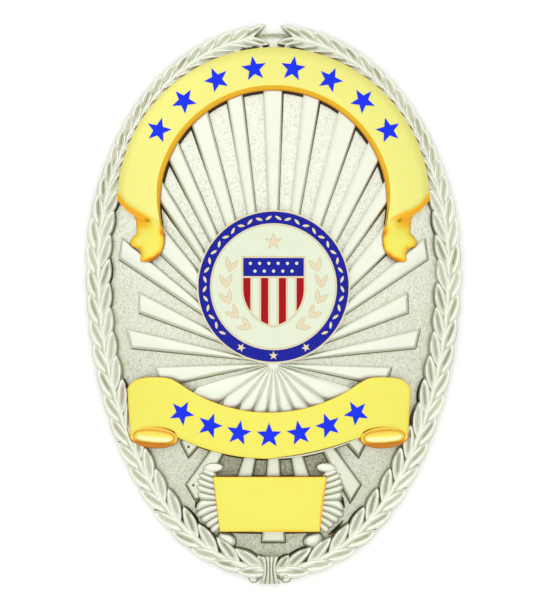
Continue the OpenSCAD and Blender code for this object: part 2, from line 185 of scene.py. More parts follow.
class Socket:
    """A shader socket that Python's arithmetic works on."""

    def __init__(self, bench: "Bench", socket: bpy.types.NodeSocket) -> None:
        """Wraps a socket of a bench's material."""
        self.bench = bench
        self.socket = socket

    def _maths(self, operation: str, *values: "Socket | float") -> "Socket":
        """Adds one Math node and returns its result."""
        return self.bench.out("ShaderNodeMath", {"operation": operation}, dict(enumerate(values)))

    def __add__(self, other: "Socket | float") -> "Socket":
        """Returns self + other."""
        return self._maths("ADD", self, other)

    __radd__ = __add__

    def __sub__(self, other: "Socket | float") -> "Socket":
        """Returns self - other."""
        return self._maths("SUBTRACT", self, other)

    def __rsub__(self, other: float) -> "Socket":
        """Returns other - self."""
        return self._maths("SUBTRACT", other, self)

    def __mul__(self, other: "Socket | float") -> "Socket":
        """Returns self * other."""
        return self._maths("MULTIPLY", self, other)

    __rmul__ = __mul__

    def at_most(self, other: "Socket | float") -> "Socket":
        """Returns the smaller of self and other."""
        return self._maths("MINIMUM", self, other)

    def at_least(self, other: "Socket | float") -> "Socket":
        """Returns the larger of self and other."""
        return self._maths("MAXIMUM", self, other)


class Bench:
    """Lays out the nodes of one material."""

    def __init__(self, name: str) -> None:
        """Starts an empty material.

        Args:
            name: The material's name.
        """
        self.material = bpy.data.materials.new(name)
        self.material.use_nodes = True
        self.tree = self.material.node_tree
        self.tree.nodes.clear()

    def node(
        self,
        kind: str,
        settings: dict[str, object] | None = None,
        inputs: dict[str | int, object] | None = None,
    ) -> bpy.types.Node:
        """Adds a node.

        Args:
            kind: The node's type.
            settings: Its properties, set first. "stops" fills a colour ramp.
            inputs: A value or a Socket for each input, by name or number.

        Returns:
            The node.
        """
        made = self.tree.nodes.new(kind)
        for key, value in (settings or {}).items():
            if key == "stops":
                while len(made.color_ramp.elements) < len(value):
                    made.color_ramp.elements.new(0.5)
                for stop, (place, colour) in zip(made.color_ramp.elements, value):
                    stop.position = place
                    stop.color = (*colour, 1.0)
            else:
                setattr(made, key, value)
        for key, value in (inputs or {}).items():
            if isinstance(value, Socket):
                self.tree.links.new(value.socket, made.inputs[key])
            else:
                made.inputs[key].default_value = value
        return made

    def out(
        self,
        kind: str,
        settings: dict[str, object] | None = None,
        inputs: dict[str | int, object] | None = None,
        output: str | int = 0,
    ) -> Socket:
        """Adds a node and returns one of its outputs."""
        return Socket(self, self.node(kind, settings, inputs).outputs[output])

    def place(self) -> Socket:
        """Returns the Object coordinates, in metres."""
        return self.out("ShaderNodeTexCoord", output="Object")

    def stretched(self, scale: Three) -> Socket:
        """Returns Object coordinates stretched on each axis."""
        return self.out("ShaderNodeMapping", inputs={"Vector": self.place(), "Scale": scale})

    def noise(
        self, size: float, detail: float = 2.0, rough: float = 0.5, where: Socket | None = None
    ) -> Socket:
        """Returns soft noise whose lumps measure about size millimetres."""
        inputs = {"Vector": where or self.place(), "Scale": 1 / (size * MM)}
        inputs |= {"Detail": detail, "Roughness": rough}
        return self.out("ShaderNodeTexNoise", inputs=inputs)

    def cells(self, size: float) -> Socket:
        """Returns the soft distance pattern of cells that measure about size millimetres."""
        inputs = {"Vector": self.place(), "Scale": 1 / (size * MM), "Randomness": 1.0}
        return self.out("ShaderNodeTexVoronoi", {"feature": "SMOOTH_F1"}, inputs)

    def hollow(self) -> Socket:
        """Returns the piece's tone and painted shade, from its own hollow attribute."""
        return self.out("ShaderNodeAttribute", {"attribute_name": HOLLOW}, output="Fac")

    def ramp(self, value: Socket, stops: Sequence[tuple[float, Colour]]) -> Socket:
        """Returns the colour that a ramp gives a value."""
        return self.out("ShaderNodeValToRGB", {"stops": stops}, {0: value})

    def blend(self, share: Socket | float, low: Socket | Colour, high: Socket | Colour) -> Socket:
        """Returns a mix of two colours."""
        pair = [c if isinstance(c, Socket) else (*c, 1.0) for c in (low, high)]
        return self.out("ShaderNodeMix", {"data_type": "RGBA"}, {0: share, 6: pair[0], 7: pair[1]}, 2)

    def bump(self, height: Socket, depth: float) -> Socket:
        """Returns normals bent by a height pattern of a depth in millimetres."""
        inputs = {"Height": height, "Distance": depth * MM, "Strength": 1.0}
        return self.out("ShaderNodeBump", inputs=inputs, output="Normal")

    def finish(self, inputs: dict[str, object]) -> bpy.types.Material:
        """Ends the material with a Principled shader.

        Args:
            inputs: Values or Sockets for the shader.

        Returns:
            The material.
        """
        shader = self.out("ShaderNodeBsdfPrincipled", inputs=inputs)
        self.node("ShaderNodeOutputMaterial", inputs={"Surface": shader})
        return self.material


@dataclass(frozen=True)
class Plate:
    """A plated metal: its colour runs from polished to painted shade, over a fine struck grain."""

    name: str
    stops: tuple[tuple[float, Colour], ...]
    metallic: float = 0.9
    metallic_hollow: float = 0.4
    rough: float = 0.3
    rough_hollow: float = 0.25
    grain: float = 0.25
    grain_depth: float = 0.004
    cloud: float = 0.08
    pebble: float = 0.0
    pebble_depth: float = 0.05
    brushed: bool = False

    def make(self) -> bpy.types.Material:
        """Returns the material."""
        bench = Bench(self.name)
        clouds = bench.noise(2.6, 3.0, 0.55)
        fine = bench.noise(self.grain, 3.0, 0.6)
        shade = bench.hollow() + (clouds - 0.5) * self.cloud + (fine - 0.5) * (self.cloud * 0.7)
        height = fine * self.grain_depth
        if self.brushed:
            streaks = bench.noise(0.12, 2.0, 0.5, bench.stretched((1.0, 0.05, 1.0)))
            shade = shade + (streaks - 0.5) * 0.05
            height = height + streaks * 0.002
        if self.pebble:
            lumps = bench.cells(self.pebble)
            wrinkles = bench.noise(self.pebble * 0.7, 2.0, 0.6)
            pits = (lumps * 0.9 + wrinkles * 0.8 - 0.62).at_least(0.0)
            shade = shade + pits * 0.46 - 0.05
            height = height - pits * self.pebble_depth
        rough = bench.hollow() * self.rough_hollow + (clouds * 0.08 + (self.rough - 0.04))
        inputs = {
            "Base Color": bench.ramp(shade, self.stops),
            "Metallic": bench.hollow() * (self.metallic_hollow - self.metallic) + self.metallic,
            "Roughness": rough.at_most(0.9),
            "Normal": bench.bump(height * (1 / self.pebble_depth), self.pebble_depth),
        }
        return bench.finish(inputs)


@dataclass(frozen=True)
class Enamel:
    """A fired glass enamel with a slightly wavy gloss."""

    name: str
    colour: Colour
    deep: Colour
    gloss: float = 0.12

    def make(self) -> bpy.types.Material:
        """Returns the material."""
        bench = Bench(self.name)
        waves = bench.noise(1.8, 2.0, 0.5)
        specks = bench.noise(0.15, 2.0, 0.6)
        colour = bench.blend((waves * 0.7 + specks * 0.5 - 0.2).at_most(1.0), self.colour, self.deep)
        inputs = {
            "Base Color": colour,
            "Roughness": waves * 0.08 + self.gloss,
            "IOR": 1.22,
            "Normal": bench.bump(waves + specks * 0.15, 0.02),
        }
        return bench.finish(inputs)


# Each ramp runs from the polished metal at 0 through painted shade to black painted shadow at 1.
SILVER_STOPS = (
    (0.0, (0.87, 0.89, 0.78)),
    (0.3, (0.62, 0.64, 0.5)),
    (0.65, (0.26, 0.26, 0.15)),
    (1.0, (0.04, 0.04, 0.02)),
)
LEAF_STOPS = (
    (0.0, (0.88, 0.89, 0.79)),
    (0.15, (0.8, 0.82, 0.69)),
    (0.4, (0.6, 0.61, 0.46)),
    (0.7, (0.26, 0.26, 0.16)),
    (1.0, (0.02, 0.02, 0.01)),
)
RAY_STOPS = (
    (0.0, (0.82, 0.845, 0.73)),
    (0.3, (0.66, 0.68, 0.53)),
    (0.65, (0.28, 0.28, 0.14)),
    (1.0, (0.035, 0.035, 0.015)),
)
GOLD_STOPS = (
    (0.0, (0.87, 0.835, 0.235)),
    (0.25, (1.0, 0.68, 0.03)),
    (0.5, (0.95, 0.4, 0.004)),
    (0.75, (0.55, 0.17, 0.0)),
    (1.0, (0.03, 0.025, 0.01)),
)
DEEP_GOLD_STOPS = ((0.0, (0.875, 0.81, 0.128)), *GOLD_STOPS[1:])
# On the rolled ends, 0 is a near-white painted highlight.
ROLL_STOPS = (
    (0.0, (1.0, 0.94, 0.46)),
    (0.16, (0.95, 0.83, 0.16)),
    (0.4, (0.95, 0.48, 0.01)),
    (0.7, (0.62, 0.2, 0.0)),
    (1.0, (0.1, 0.04, 0.0)),
)
CHAMPAGNE_STOPS = ((0.0, (0.72, 0.62, 0.42)), (0.5, (0.5, 0.4, 0.26)), (1.0, (0.2, 0.14, 0.08)))
STEEL_STOPS = ((0.0, (0.62, 0.62, 0.6)), (0.5, (0.35, 0.35, 0.33)), (1.0, (0.08, 0.08, 0.07)))

FIELD = Plate("silver_field", SILVER_STOPS, rough=0.42, pebble=0.28, pebble_depth=0.035)
BACK = Plate("silver_back", SILVER_STOPS, rough=0.38, grain=0.5, cloud=0.14)
RAY = Plate("silver_ray", RAY_STOPS, rough=0.36, grain=0.2, cloud=0.05)
LEAF = Plate("silver_leaf", LEAF_STOPS, rough=0.34, grain=0.3, cloud=0.06)
GOLD = Plate("gold_face", GOLD_STOPS, 0.6, 0.0, rough=0.42, cloud=0.03, grain=0.15)
DEEP_GOLD = Plate("gold_ribbon", DEEP_GOLD_STOPS, 0.6, 0.0, rough=0.42, cloud=0.03, grain=0.15)
ROLL = Plate("gold_roll", ROLL_STOPS, 0.6, 0.0, rough=0.25, cloud=0.03, grain=0.15)
CHAMPAGNE = Plate("champagne", CHAMPAGNE_STOPS, rough=0.3, cloud=0.04)
STEEL = Plate("plain_steel", STEEL_STOPS, brushed=True)
BRIGHT_BLUE = Enamel("bright_blue_enamel", (0.009, 0.036, 1.0), (0.007, 0.028, 0.9), 0.4)
BLUE = Enamel("blue_enamel", (0.008, 0.014, 0.37), (0.006, 0.011, 0.31))
WHITE = Enamel("white_enamel", (0.85, 0.91, 0.72), (0.81, 0.88, 0.68))
RED = Enamel("red_enamel", (0.46, 0.0, 0.006), (0.4, 0.0, 0.005))


class Workpiece:
    """A mesh that is worked flat in millimetres, laid on the dome and handed over in metres."""

    def __init__(self, name: str) -> None:
        """Starts an empty mesh.

        Args:
            name: The name of the piece that it becomes.
        """
        self.name = name
        self.mesh = bmesh.new()
        self.tone_and_shade = self.mesh.verts.layers.float.new(HOLLOW)

    def grid(self, across: int, up: int, place: Callable[[float, float], Point]) -> None:
        """Adds a sheet whose points are placed one by one.

        Args:
            across: Squares from one side to the other.
            up: Squares from bottom to top.
            place: Gives x, y, height and hollow for two numbers from 0 to 1.
        """
        made = bmesh.ops.create_grid(self.mesh, x_segments=across, y_segments=up, size=0.5)["verts"]
        for v in made:
            x, y, height, hollow = place(v.co.x + 0.5, v.co.y + 0.5)
            v.co = (x, y, height)
            v[self.tone_and_shade] = hollow

    def thicken(self, bottom: float, hollow: float = 1.0) -> None:
        """Makes a lone sheet a closed solid by drawing its underside down.

        Args:
            bottom: Height of the flat underside.
            hollow: The underside's hollow.
        """
        under = list(self.mesh.verts)
        bmesh.ops.extrude_face_region(self.mesh, geom=self.mesh.faces[:])
        for v in under:
            v.co.z = bottom
            v[self.tone_and_shade] = hollow

    def cushion(self, outline: Sequence[Flat], bottom: float, steps: Sequence[Three]) -> None:
        """Raises an outline in steps.

        Args:
            outline: Its corners in order.
            bottom: Height of the underside.
            steps: How far in, how high and how hollow each next ring is; the first goes straight up.
        """
        floor = self.mesh.faces.new([self.mesh.verts.new((x, y, bottom)) for x, y in outline])
        floor.normal_update()
        if floor.normal.z < 0:
            floor.normal_flip()
        for v in floor.verts:
            v[self.tone_and_shade] = 1.0
        raised = bmesh.ops.extrude_face_region(self.mesh, geom=[floor])["geom"]
        top = next(f for f in raised if isinstance(f, bmesh.types.BMFace))
        floor.normal_flip()
        for inset, height, hollow in steps:
            if inset:
                bmesh.ops.inset_region(self.mesh, faces=[top], thickness=inset, use_even_offset=True)
            for v in top.verts:
                v.co.z = height
                v[self.tone_and_shade] = hollow
        if len(top.verts) > 4:
            bmesh.ops.triangulate(self.mesh, faces=[top])

    def pillow(self, outline: Sequence[Flat], core: Sequence[Flat], steps: Sequence[Three]) -> None:
        """Raises a closed outline from the face in rings that draw in to a core line.

        Args:
            outline: Its points in order.
            core: The line that the innermost ring lies on.
            steps: For each ring, its share of the way to the core, its height and its hollow.
        """
        count = len(outline)
        ends = [(p, nearest(p, core)) for p in outline]

        def place(s: float, t: float) -> Point:
            """Places a point by its share round the outline and of the rings."""
            (x, y), (cx, cy) = ends[round(s * count) % count]
            share, height, hollow = steps[round(t * (len(steps) - 1))]
            return mixed(x, cx, share), mixed(y, cy, share), height, hollow

        self.grid(count, len(steps) - 1, place)
        bmesh.ops.remove_doubles(self.mesh, verts=self.mesh.verts[:], dist=1e-5)
        inner = [e for e in self.mesh.edges if e.is_boundary and min(v.co.z for v in e.verts) > steps[-2][1]]
        top = bmesh.ops.holes_fill(self.mesh, edges=inner, sides=0)["faces"]
        bmesh.ops.triangulate(self.mesh, faces=top)
        self.thicken(GROUND)

    def bead(
        self, x: float, y: float, size: Three, turn: float, foot: float, base: float = 0.0
    ) -> None:
        """Adds an egg-shaped bead that stands half sunk at a place.

        Args:
            x: Its middle across.
            y: Its middle up the face.
            size: Its half length, half width and height.
            turn: Degrees that it is turned.
            foot: How dark its foot is painted, as a painted shadow round it.
            base: Height of its widest line.
        """
        made = bmesh.ops.create_uvsphere(self.mesh, u_segments=28, v_segments=14, radius=1.0)["verts"]
        ca, sa = turned(1.0, turn)
        for v in made:
            v[self.tone_and_shade] = mixed(foot, 0.1, eased((v.co.z + 0.1) / 0.45))
            px, py, pz = (co * half for co, half in zip(v.co, size))
            if v.co.z < -0.1 and not base:
                grown = 1 + 0.16 / math.hypot(px, py, 1e-6) if v.co.z > -0.3 else 1.0
                px, py, pz = px * grown, py * grown, 0.0
            v.co = (x + px * ca - py * sa, y + px * sa + py * ca, max(base + pz, GROUND))

    def take(self, part: bpy.types.Mesh, place: Callable[[Vector], Flat], shade: float = 1.0) -> None:
        """Adds a copy of a mesh.

        Args:
            part: The mesh, with its own hollow values.
            place: Gives x and y for each of its points; heights stay.
            shade: What its hollow values are multiplied by.
        """
        before = len(self.mesh.verts)
        self.mesh.from_mesh(part)
        self.mesh.verts.ensure_lookup_table()
        for v in self.mesh.verts[before:]:
            v.co.x, v.co.y = place(v.co)
            v[self.tone_and_shade] *= shade

    def join(self, other: "Workpiece") -> None:
        """Takes over the whole mesh of another workpiece."""
        part = bpy.data.meshes.new(other.name)
        other.mesh.to_mesh(part)
        other.mesh.free()
        self.mesh.from_mesh(part)
        bpy.data.meshes.remove(part)

    def shadow(self, points: Sequence[Flat], width: float, height: float = 0.04, hollow: float = 1.0) -> None:
        """Adds a thin painted strip on the right of an open line: black for a painted shadow, lighter for
        painted shade, and in silver for a painted sheen.

        Args:
            points: The line's points in order.
            width: The strip's width in the middle of the line.
            height: The strip's height at the line, which falls to the other side if the strip is black.
            hollow: How dark the strip is painted, 1 for black.
        """
        strip = Workpiece("strip")
        count = len(points) - 1

        def place(s: float, t: float) -> Point:
            """Places a point by its share along the line and across the strip."""
            at = round(s * count)
            (ax, ay), (bx, by) = points[max(0, at - 1)], points[min(count, at + 1)]
            out = width * t * max(0.05, math.sin(math.pi * s)) ** 0.4 / math.dist((ax, ay), (bx, by))
            x, y = points[at]
            return x + (by - ay) * out, y - (bx - ax) * out, height * (1 - 0.5 * t * (hollow == 1.0)), hollow

        strip.grid(count, 2, place)
        strip.thicken(-0.1)
        self.join(strip)

    def soften(self, width: float, segments: int, angle: float = 60.0, above: float = 1.0) -> None:
        """Bevels the upper edges that turn outwards by more than an angle.

        Args:
            width: The bevel's width.
            segments: Steps across the bevel.
            angle: Least turn in degrees.
            above: Only edges higher than this are bevelled.
        """
        bmesh.ops.recalc_face_normals(self.mesh, faces=self.mesh.faces[:])
        sharp = [
            e
            for e in self.mesh.edges
            if len(e.link_faces) == 2
            and e.calc_face_angle_signed() > math.radians(angle)
            and min(v.co.z for v in e.verts) > above
        ]
        bmesh.ops.bevel(
            self.mesh, geom=sharp, offset=width, offset_type="OFFSET", segments=segments, profile=0.5,
            affect="EDGES", material=-1, clamp_overlap=True,
        )

    def mirrored(self) -> None:
        """Adds the same shapes on the other side of x = 0."""
        mesh = self.mesh
        copy = bmesh.ops.duplicate(mesh, geom=mesh.verts[:] + mesh.edges[:] + mesh.faces[:])
        for v in copy["geom"]:
            if isinstance(v, bmesh.types.BMVert):
                v.co.x = -v.co.x

    def shift(self, x: float) -> None:
        """Moves everything across."""
        bmesh.ops.translate(self.mesh, vec=(x, 0.0, 0.0), verts=self.mesh.verts)

    def panelled(self, height: float, rim: float, rim_low: float) -> None:
        """Paints shade on a flat panel: its top stays polished, its wall is painted dark and black at the
        foot.

        Args:
            height: The height of its top.
            rim: How dark its bevelled rim is painted.
            rim_low: The height at which the rim ends.
        """
        wall_low, wall = 1.0, 0.88
        for v in self.mesh.verts:
            if v.co.z > height - 0.005:
                v[self.tone_and_shade] = 0.0
            elif v.co.z > rim_low:
                v[self.tone_and_shade] = rim
            else:
                v[self.tone_and_shade] = wall if v.co.z > wall_low else 1.0

    def drape(self) -> None:
        """Lays the flat work on the dome."""
        for v in self.mesh.verts:
            v.co.z += DOME.face(v.co.x, v.co.y)

    def hand_over(
        self,
        finishes: Sequence[bpy.types.Material],
        nodes: Iterable[str] = (),
        smooth: float = 40.0,
    ) -> None:
        """Makes the piece, which rides on the badge.

        Args:
            finishes: Its materials.
            nodes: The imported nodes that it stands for.
            smooth: Edges that turn more than this many degrees stay crisp.
        """
        bmesh.ops.recalc_face_normals(self.mesh, faces=self.mesh.faces[:])
        bmesh.ops.scale(self.mesh, vec=(MM, MM, MM), verts=self.mesh.verts)
        data = bpy.data.meshes.new(self.name)
        self.mesh.to_mesh(data)
        self.mesh.free()
        data.shade_smooth()
        data.set_sharp_from_angle(angle=math.radians(smooth))
        for finish in finishes:
            data.materials.append(finish)
        piece = bpy.data.objects.new(self.name, data)
        bpy.context.scene.collection.objects.link(piece)
        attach(piece, "root")
        if nodes:
            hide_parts(*nodes)
        LOG.info("%s: %d faces", self.name, len(data.polygons))


@dataclass
class Field:
    """The domed sheet: a pebbled face, a flat rim, a hollow back and a flat seat for the seal."""

    seal_y: float = 2.27
    seat_r: float = 10.0
    seat_z: float = 5.26
    seat_foot: float = 3.9
    around: int = 360
    rings: int = 110

    def face_shade(self, x: float, y: float) -> float:
        """Returns the face's painted shade: lighter at the top and darker towards the bottom, darker still
        above the plate, under the ribbon, and below the plate.
        """
        above = eased((-y - 17.5) / 2.5) * eased((24.6 + y) / 1.0)
        below = eased((-30.5 - y) / 0.8)
        middle = eased((11 - abs(x)) / 4)
        return mixed(0.22, 0.02, eased((y + 26) / 56)) + 0.28 * max(above, 0.4 * below) * middle

    def build(self, face: bpy.types.Material, back: bpy.types.Material) -> None:
        """Makes the sheet and its seat."""
        work = Workpiece("field_sheet")
        mesh = work.mesh
        edge, rim = DOME.edge, DOME.rim_in
        shares = [(0.0, 1)] + [(edge * (i / self.rings) ** 0.8, 1) for i in range(1, self.rings + 1)]
        shares += [(edge, 0), (rim, 0)] + [(rim * (1 - i / 24), -1) for i in range(1, 25)]
        line = [mesh.verts.new((share, 0.0, float(side))) for share, side in shares]
        edges = [mesh.edges.new(pair) for pair in zip(line, line[1:])]
        bmesh.ops.spin(
            mesh, geom=line + edges, cent=(0, 0, 0), axis=(0, 0, 1),
            angle=math.tau, steps=self.around, use_merge=True,
        )
        bmesh.ops.remove_doubles(mesh, verts=mesh.verts[:], dist=1e-6)
        for f in mesh.faces:
            f.material_index = int(all(v.co.z < 0.5 for v in f.verts))
        for v in mesh.verts:
            side = round(v.co.z)
            share, degrees = math.hypot(v.co.x, v.co.y), math.degrees(math.atan2(v.co.y, v.co.x))
            x, y = DOME.at(share, degrees)
            height = {1: DOME.face, 0: lambda *_: 0.0, -1: DOME.inside}[side](x, y)
            v.co = (x, y, height)
            # Painted shade on the face, with a darker painted line at its very edge; the rim and the back get
            # an even tone
            at_edge = 0.4 * eased((share / edge - 0.97) / 0.02)
            v[work.tone_and_shade] = {1: self.face_shade(x, y) + at_edge, 0: 0.15, -1: 0.18}[side]
        work.hand_over([face, back], ["back_plate"])

        seat = Workpiece("seal_seat")
        ring = [turned(self.seat_r, i * 3.75) for i in range(96)]
        steps = [(0, self.seat_z - 0.1, 0.6), (0.1, self.seat_z, 0.5)]
        seat.cushion([(x, y + self.seal_y) for x, y in ring], self.seat_foot, steps)
        seat.hand_over([face])


@dataclass
class Sunburst:
    """Bevelled rays that run out from a point at the seal's foot."""

    focus_y: float = -8.05
    seal_y: float = 2.27
    seat_r: float = 10.1
    banner_y: float = 13.5
    wall_r: float = 15.4
    height: float = 0.6
    lit: Flat = (-0.6, 0.8)  # the side that the light comes from
    broad: Flat = (-0.8, -0.6)  # the side whose slopes are broad
    under: Flat = (0.15, -1.0)  # the side whose slopes are painted black beside the banner, as shade
    shaded_at: tuple[float, ...] = (0.0, 0.38, 0.58, 0.84, 1.0)  # such a slope's steps, by its width
    bevels: Flat = (0.34, 0.62)  # least and greatest width
    # Share of a bevel's width and of the ray's height, from its foot up, for shaded, lit and merged slopes
    profile: tuple[Flat, ...] = ((0.0, 0.0), (0.14, 0.6), (0.32, 0.76), (0.84, 0.95), (1.0, 1.0))
    lit_profile: tuple[Flat, ...] = ((0.0, 0.0), (0.1, 0.82), (0.28, 0.9), (0.5, 0.95), (1.0, 1.0))
    soft_profile: tuple[Flat, ...] = ((0.0, 0.55), (0.12, 0.63), (0.3, 0.77), (0.55, 0.9), (1.0, 1.0))
    # Both edges in degrees from straight up, and how far out each edge ends; 0 is at the banner
    rows: tuple[Four, ...] = (
        (6.3, 10.3, 0, 0),
        (14.5, 19.5, 0, 0),
        (23.2, 27.9, 0, 0),
        (31.4, 35.9, 0, 0),
        (39, 46.5, 0, 21.6),
        (50.4, 56.5, 26.7, 25.2),
        (62.3, 70, 20.6, 19.5),
        (77, 84.5, 20.5, 19.4),
        (92, 102.5, 16.1, 15.6),
    )
    top_row: Four = (-2.2, 2.2, 0, 0)
    # The same for the rays below the seal, and by how much each edge widens above the ribbon
    fan: tuple[tuple[float, ...], ...] = (
        (109, 122, 13, 13, 1, 4),
        (130, 138.5, 16.6, 17.4, 4, 2.75),
        (144, 151.6, 20.4, 21.8, 2.75, 5.2),
        (162, 170, 20, 20, 5.2, 3),
    )
    low_row: tuple[float, ...] = (176, 184, 24.5, 24.5, 3, 3)
    ribbon: Flat = (6.0, 20.7)  # middle and radius of the ribbon's upper edge
    pits: tuple[Flat, ...] = ((-11.5, -19.4), (-10.85, -24.6), (-10.35, -26.5))
    pit_r: float = 0.2
    hub_r: float = 2.0
    hub_steps: tuple[Three, ...] = ((0, 0.0, 0.06), (1.0, 0.12, 0.03), (0.6, 0.2, 0.0))
    rungs_out: int = 40  # steps from a ray's start to its end
    widest: float = 0.4  # greatest share of a ray's width that one bevel takes
    full_w: float = 0.8  # width from which a ray has its full height

    def to_circle(self, up: float, radius: float, degrees: float) -> float:
        """Returns how far a ray runs from the focus to a circle whose centre is straight up."""
        across = up * math.sin(math.radians(degrees))
        return up * math.cos(math.radians(degrees)) + math.sqrt(max(0.0, radius**2 - across**2))

    def start(self, degrees: float) -> float:
        """Returns how far from the focus a ray's edge starts."""
        return self.to_circle(self.seal_y - self.focus_y, self.seat_r, degrees) if degrees < 74 else 0.35

    def end(self, degrees: float, stated: float) -> float:
        """Returns how far from the focus a ray's edge ends."""
        return stated or self.to_circle(self.banner_y - self.focus_y, self.wall_r, degrees)

    def facing(self, degrees: float, way: Flat) -> float:
        """Returns how far a slope looks one way, 0 to 1, by its direction from straight up."""
        x, y = turned(1.0, 90 - degrees)
        return min(1.0, max(0.0, 0.5 + (way[0] * x + way[1] * y) / 2))

    def rung_at(self, rung: int, light: float, ridge: float) -> Flat:
        """Returns a rung's share of the bevel's width and of the height."""
        bright = eased((light - 0.5) / 0.2)
        rows = zip(self.profile[rung], self.lit_profile[rung], self.soft_profile[rung])
        wide, high = (mixed(mixed(dull, lit, bright), soft, ridge) for dull, lit, soft in rows)
        return wide, high

    def ray(self, work: Workpiece, row: tuple[float, ...]) -> None:
        """Adds one ray: a flat top between two bevels and a bevelled end.

        Args:
            work: The mesh that it joins.
            row: Both edges in degrees from straight up, how far out each ends, and how much each widens.
        """
        a, b, end_a, end_b, *widening = row
        near = self.start(abs(a)), self.start(abs(b))
        far = self.end(a, end_a), self.end(b, end_b)
        last = len(self.profile) - 1
        columns, steps = 2 * last + 1, self.rungs_out
        ribbon_up = self.ribbon[0] - self.focus_y
        to_ribbon = self.to_circle(ribbon_up, self.ribbon[1], (a + b) / 2) if widening else 1.0

        def place(across: float, out: float) -> Point:
            """Places a point by its share across the ray and its share of the way out."""
            column, row_at = round(across * columns), round(out * steps)
            rung, left = min(column, columns - column), column <= last
            end_rung = min(last, steps - row_at) if end_a else last
            share = min(1.0, row_at / (steps - last)) if end_a else row_at / steps
            low, high = (mixed(near[i], far[i], share) for i in (0, 1))
            ridge = 1 - eased((low / to_ribbon - 1.04) / 0.12) if widening else 0.0
            edge_a, edge_b = (a - widening[0] * ridge, b + widening[1] * ridge) if widening else (a, b)
            wide = mixed(low, high, 0.5) * math.radians(edge_b - edge_a)
            outward = (edge_a - 90) if left else (edge_b + 90)
            light = self.facing(outward, self.lit)
            lee = self.facing(outward, self.broad)
            bevel = mixed(mixed(*self.bevels, lee), wide, ridge)
            shaded = 0.0
            if not (end_a or widening):
                shaded = eased((self.facing(outward, self.under) - 0.43) / 0.15) * eased((share - 0.3) / 0.7)
            step_at = mixed(self.rung_at(rung, light, ridge)[0], self.shaded_at[rung], shaded)
            inset = min(self.widest, bevel / wide) * step_at
            position = inset if left else 1 - inset
            degrees = mixed(edge_a, edge_b, position)
            reach = mixed(low, high, position)
            if end_a:
                reach -= mixed(*self.bevels, 0.5) * self.profile[end_rung][0] * (row_at > steps - last - 1)
            else:
                reach += 0.02 * (row_at == steps)
            if end_rung < rung:
                rung, light = end_rung, self.facing(degrees, self.lit)
            top = self.height * min(1.0, wide / self.full_w)
            # Painted shade: a slope that faces away from the light is darker, with a black line at its foot;
            # beside the banner, slopes that face down are painted black; rays darken a little near their
            # start, and the fan's rays darken towards the ribbon and below it
            foot = mixed(0.85, 0.05, eased((light - 0.35) / 0.55))
            slope = (mixed(0.36, 0.14, light) + 0.08 * lee) * (1 - 0.6 * ridge)
            if widening:
                foot = mixed(max(foot, 0.9), foot, ridge)
            foot, slope = mixed(foot, 1.0, shaded), slope + 0.1 * shaded
            second, shoulder = mixed(foot, slope, 0.2 * (1 - shaded)), slope * mixed(0.3, 0.6, lee)
            dark = (foot, second, slope, shoulder, 0.02)[rung]
            if not end_a:
                dark += 0.05 * (1 - share)
            if widening:
                near_ribbon = eased((reach / to_ribbon - 0.55) / 0.45)
                dark *= mixed(1.0, mixed(0.08, 1.0 if degrees % 360 > 180 else 0.55, near_ribbon), ridge)
                dark = dark * mixed(1.6, 1.0, ridge) + 0.14 * (1 - ridge)
            x, y = turned(reach, 90 - degrees)
            height = mixed(GROUND, top, self.rung_at(rung, light, ridge)[1])
            return x, self.focus_y + y, height, min(1.0, dark)

        sheet = Workpiece("ray")
        sheet.grid(columns, steps, place)
        sheet.thicken(-0.2)
        work.join(sheet)

    def build(self, finish: bpy.types.Material) -> None:
        """Makes the rays."""
        work = Workpiece("ray_burst")
        rows = [self.top_row, self.low_row]
        for row in (*self.rows, *self.fan):
            a, b, end_a, end_b, *widening = row
            rows += [row, (-b, -a, end_b, end_a, *reversed(widening))]
        for row in rows:
            self.ray(work, row)
        hub = Workpiece("hub")
        ring = [turned(self.hub_r, i * 15) for i in range(24)]
        hub.cushion([(x, y + self.focus_y) for x, y in ring], -0.1, self.hub_steps)
        work.join(hub)
        for x, y in self.pits:
            pit = Workpiece("pit")
            ring = [turned(self.pit_r, i * 45) for i in range(8)]
            pit.cushion([(x + dx, y + dy) for dx, dy in ring], 0.3, [(0, self.height + 0.01, 0.85)])
            work.join(pit)
        work.drape()
        work.hand_over([finish], ["sunburst"], smooth=20)


class Side(Enum):
    """The two sides of the badge."""

    LEFT = -1
    RIGHT = 1


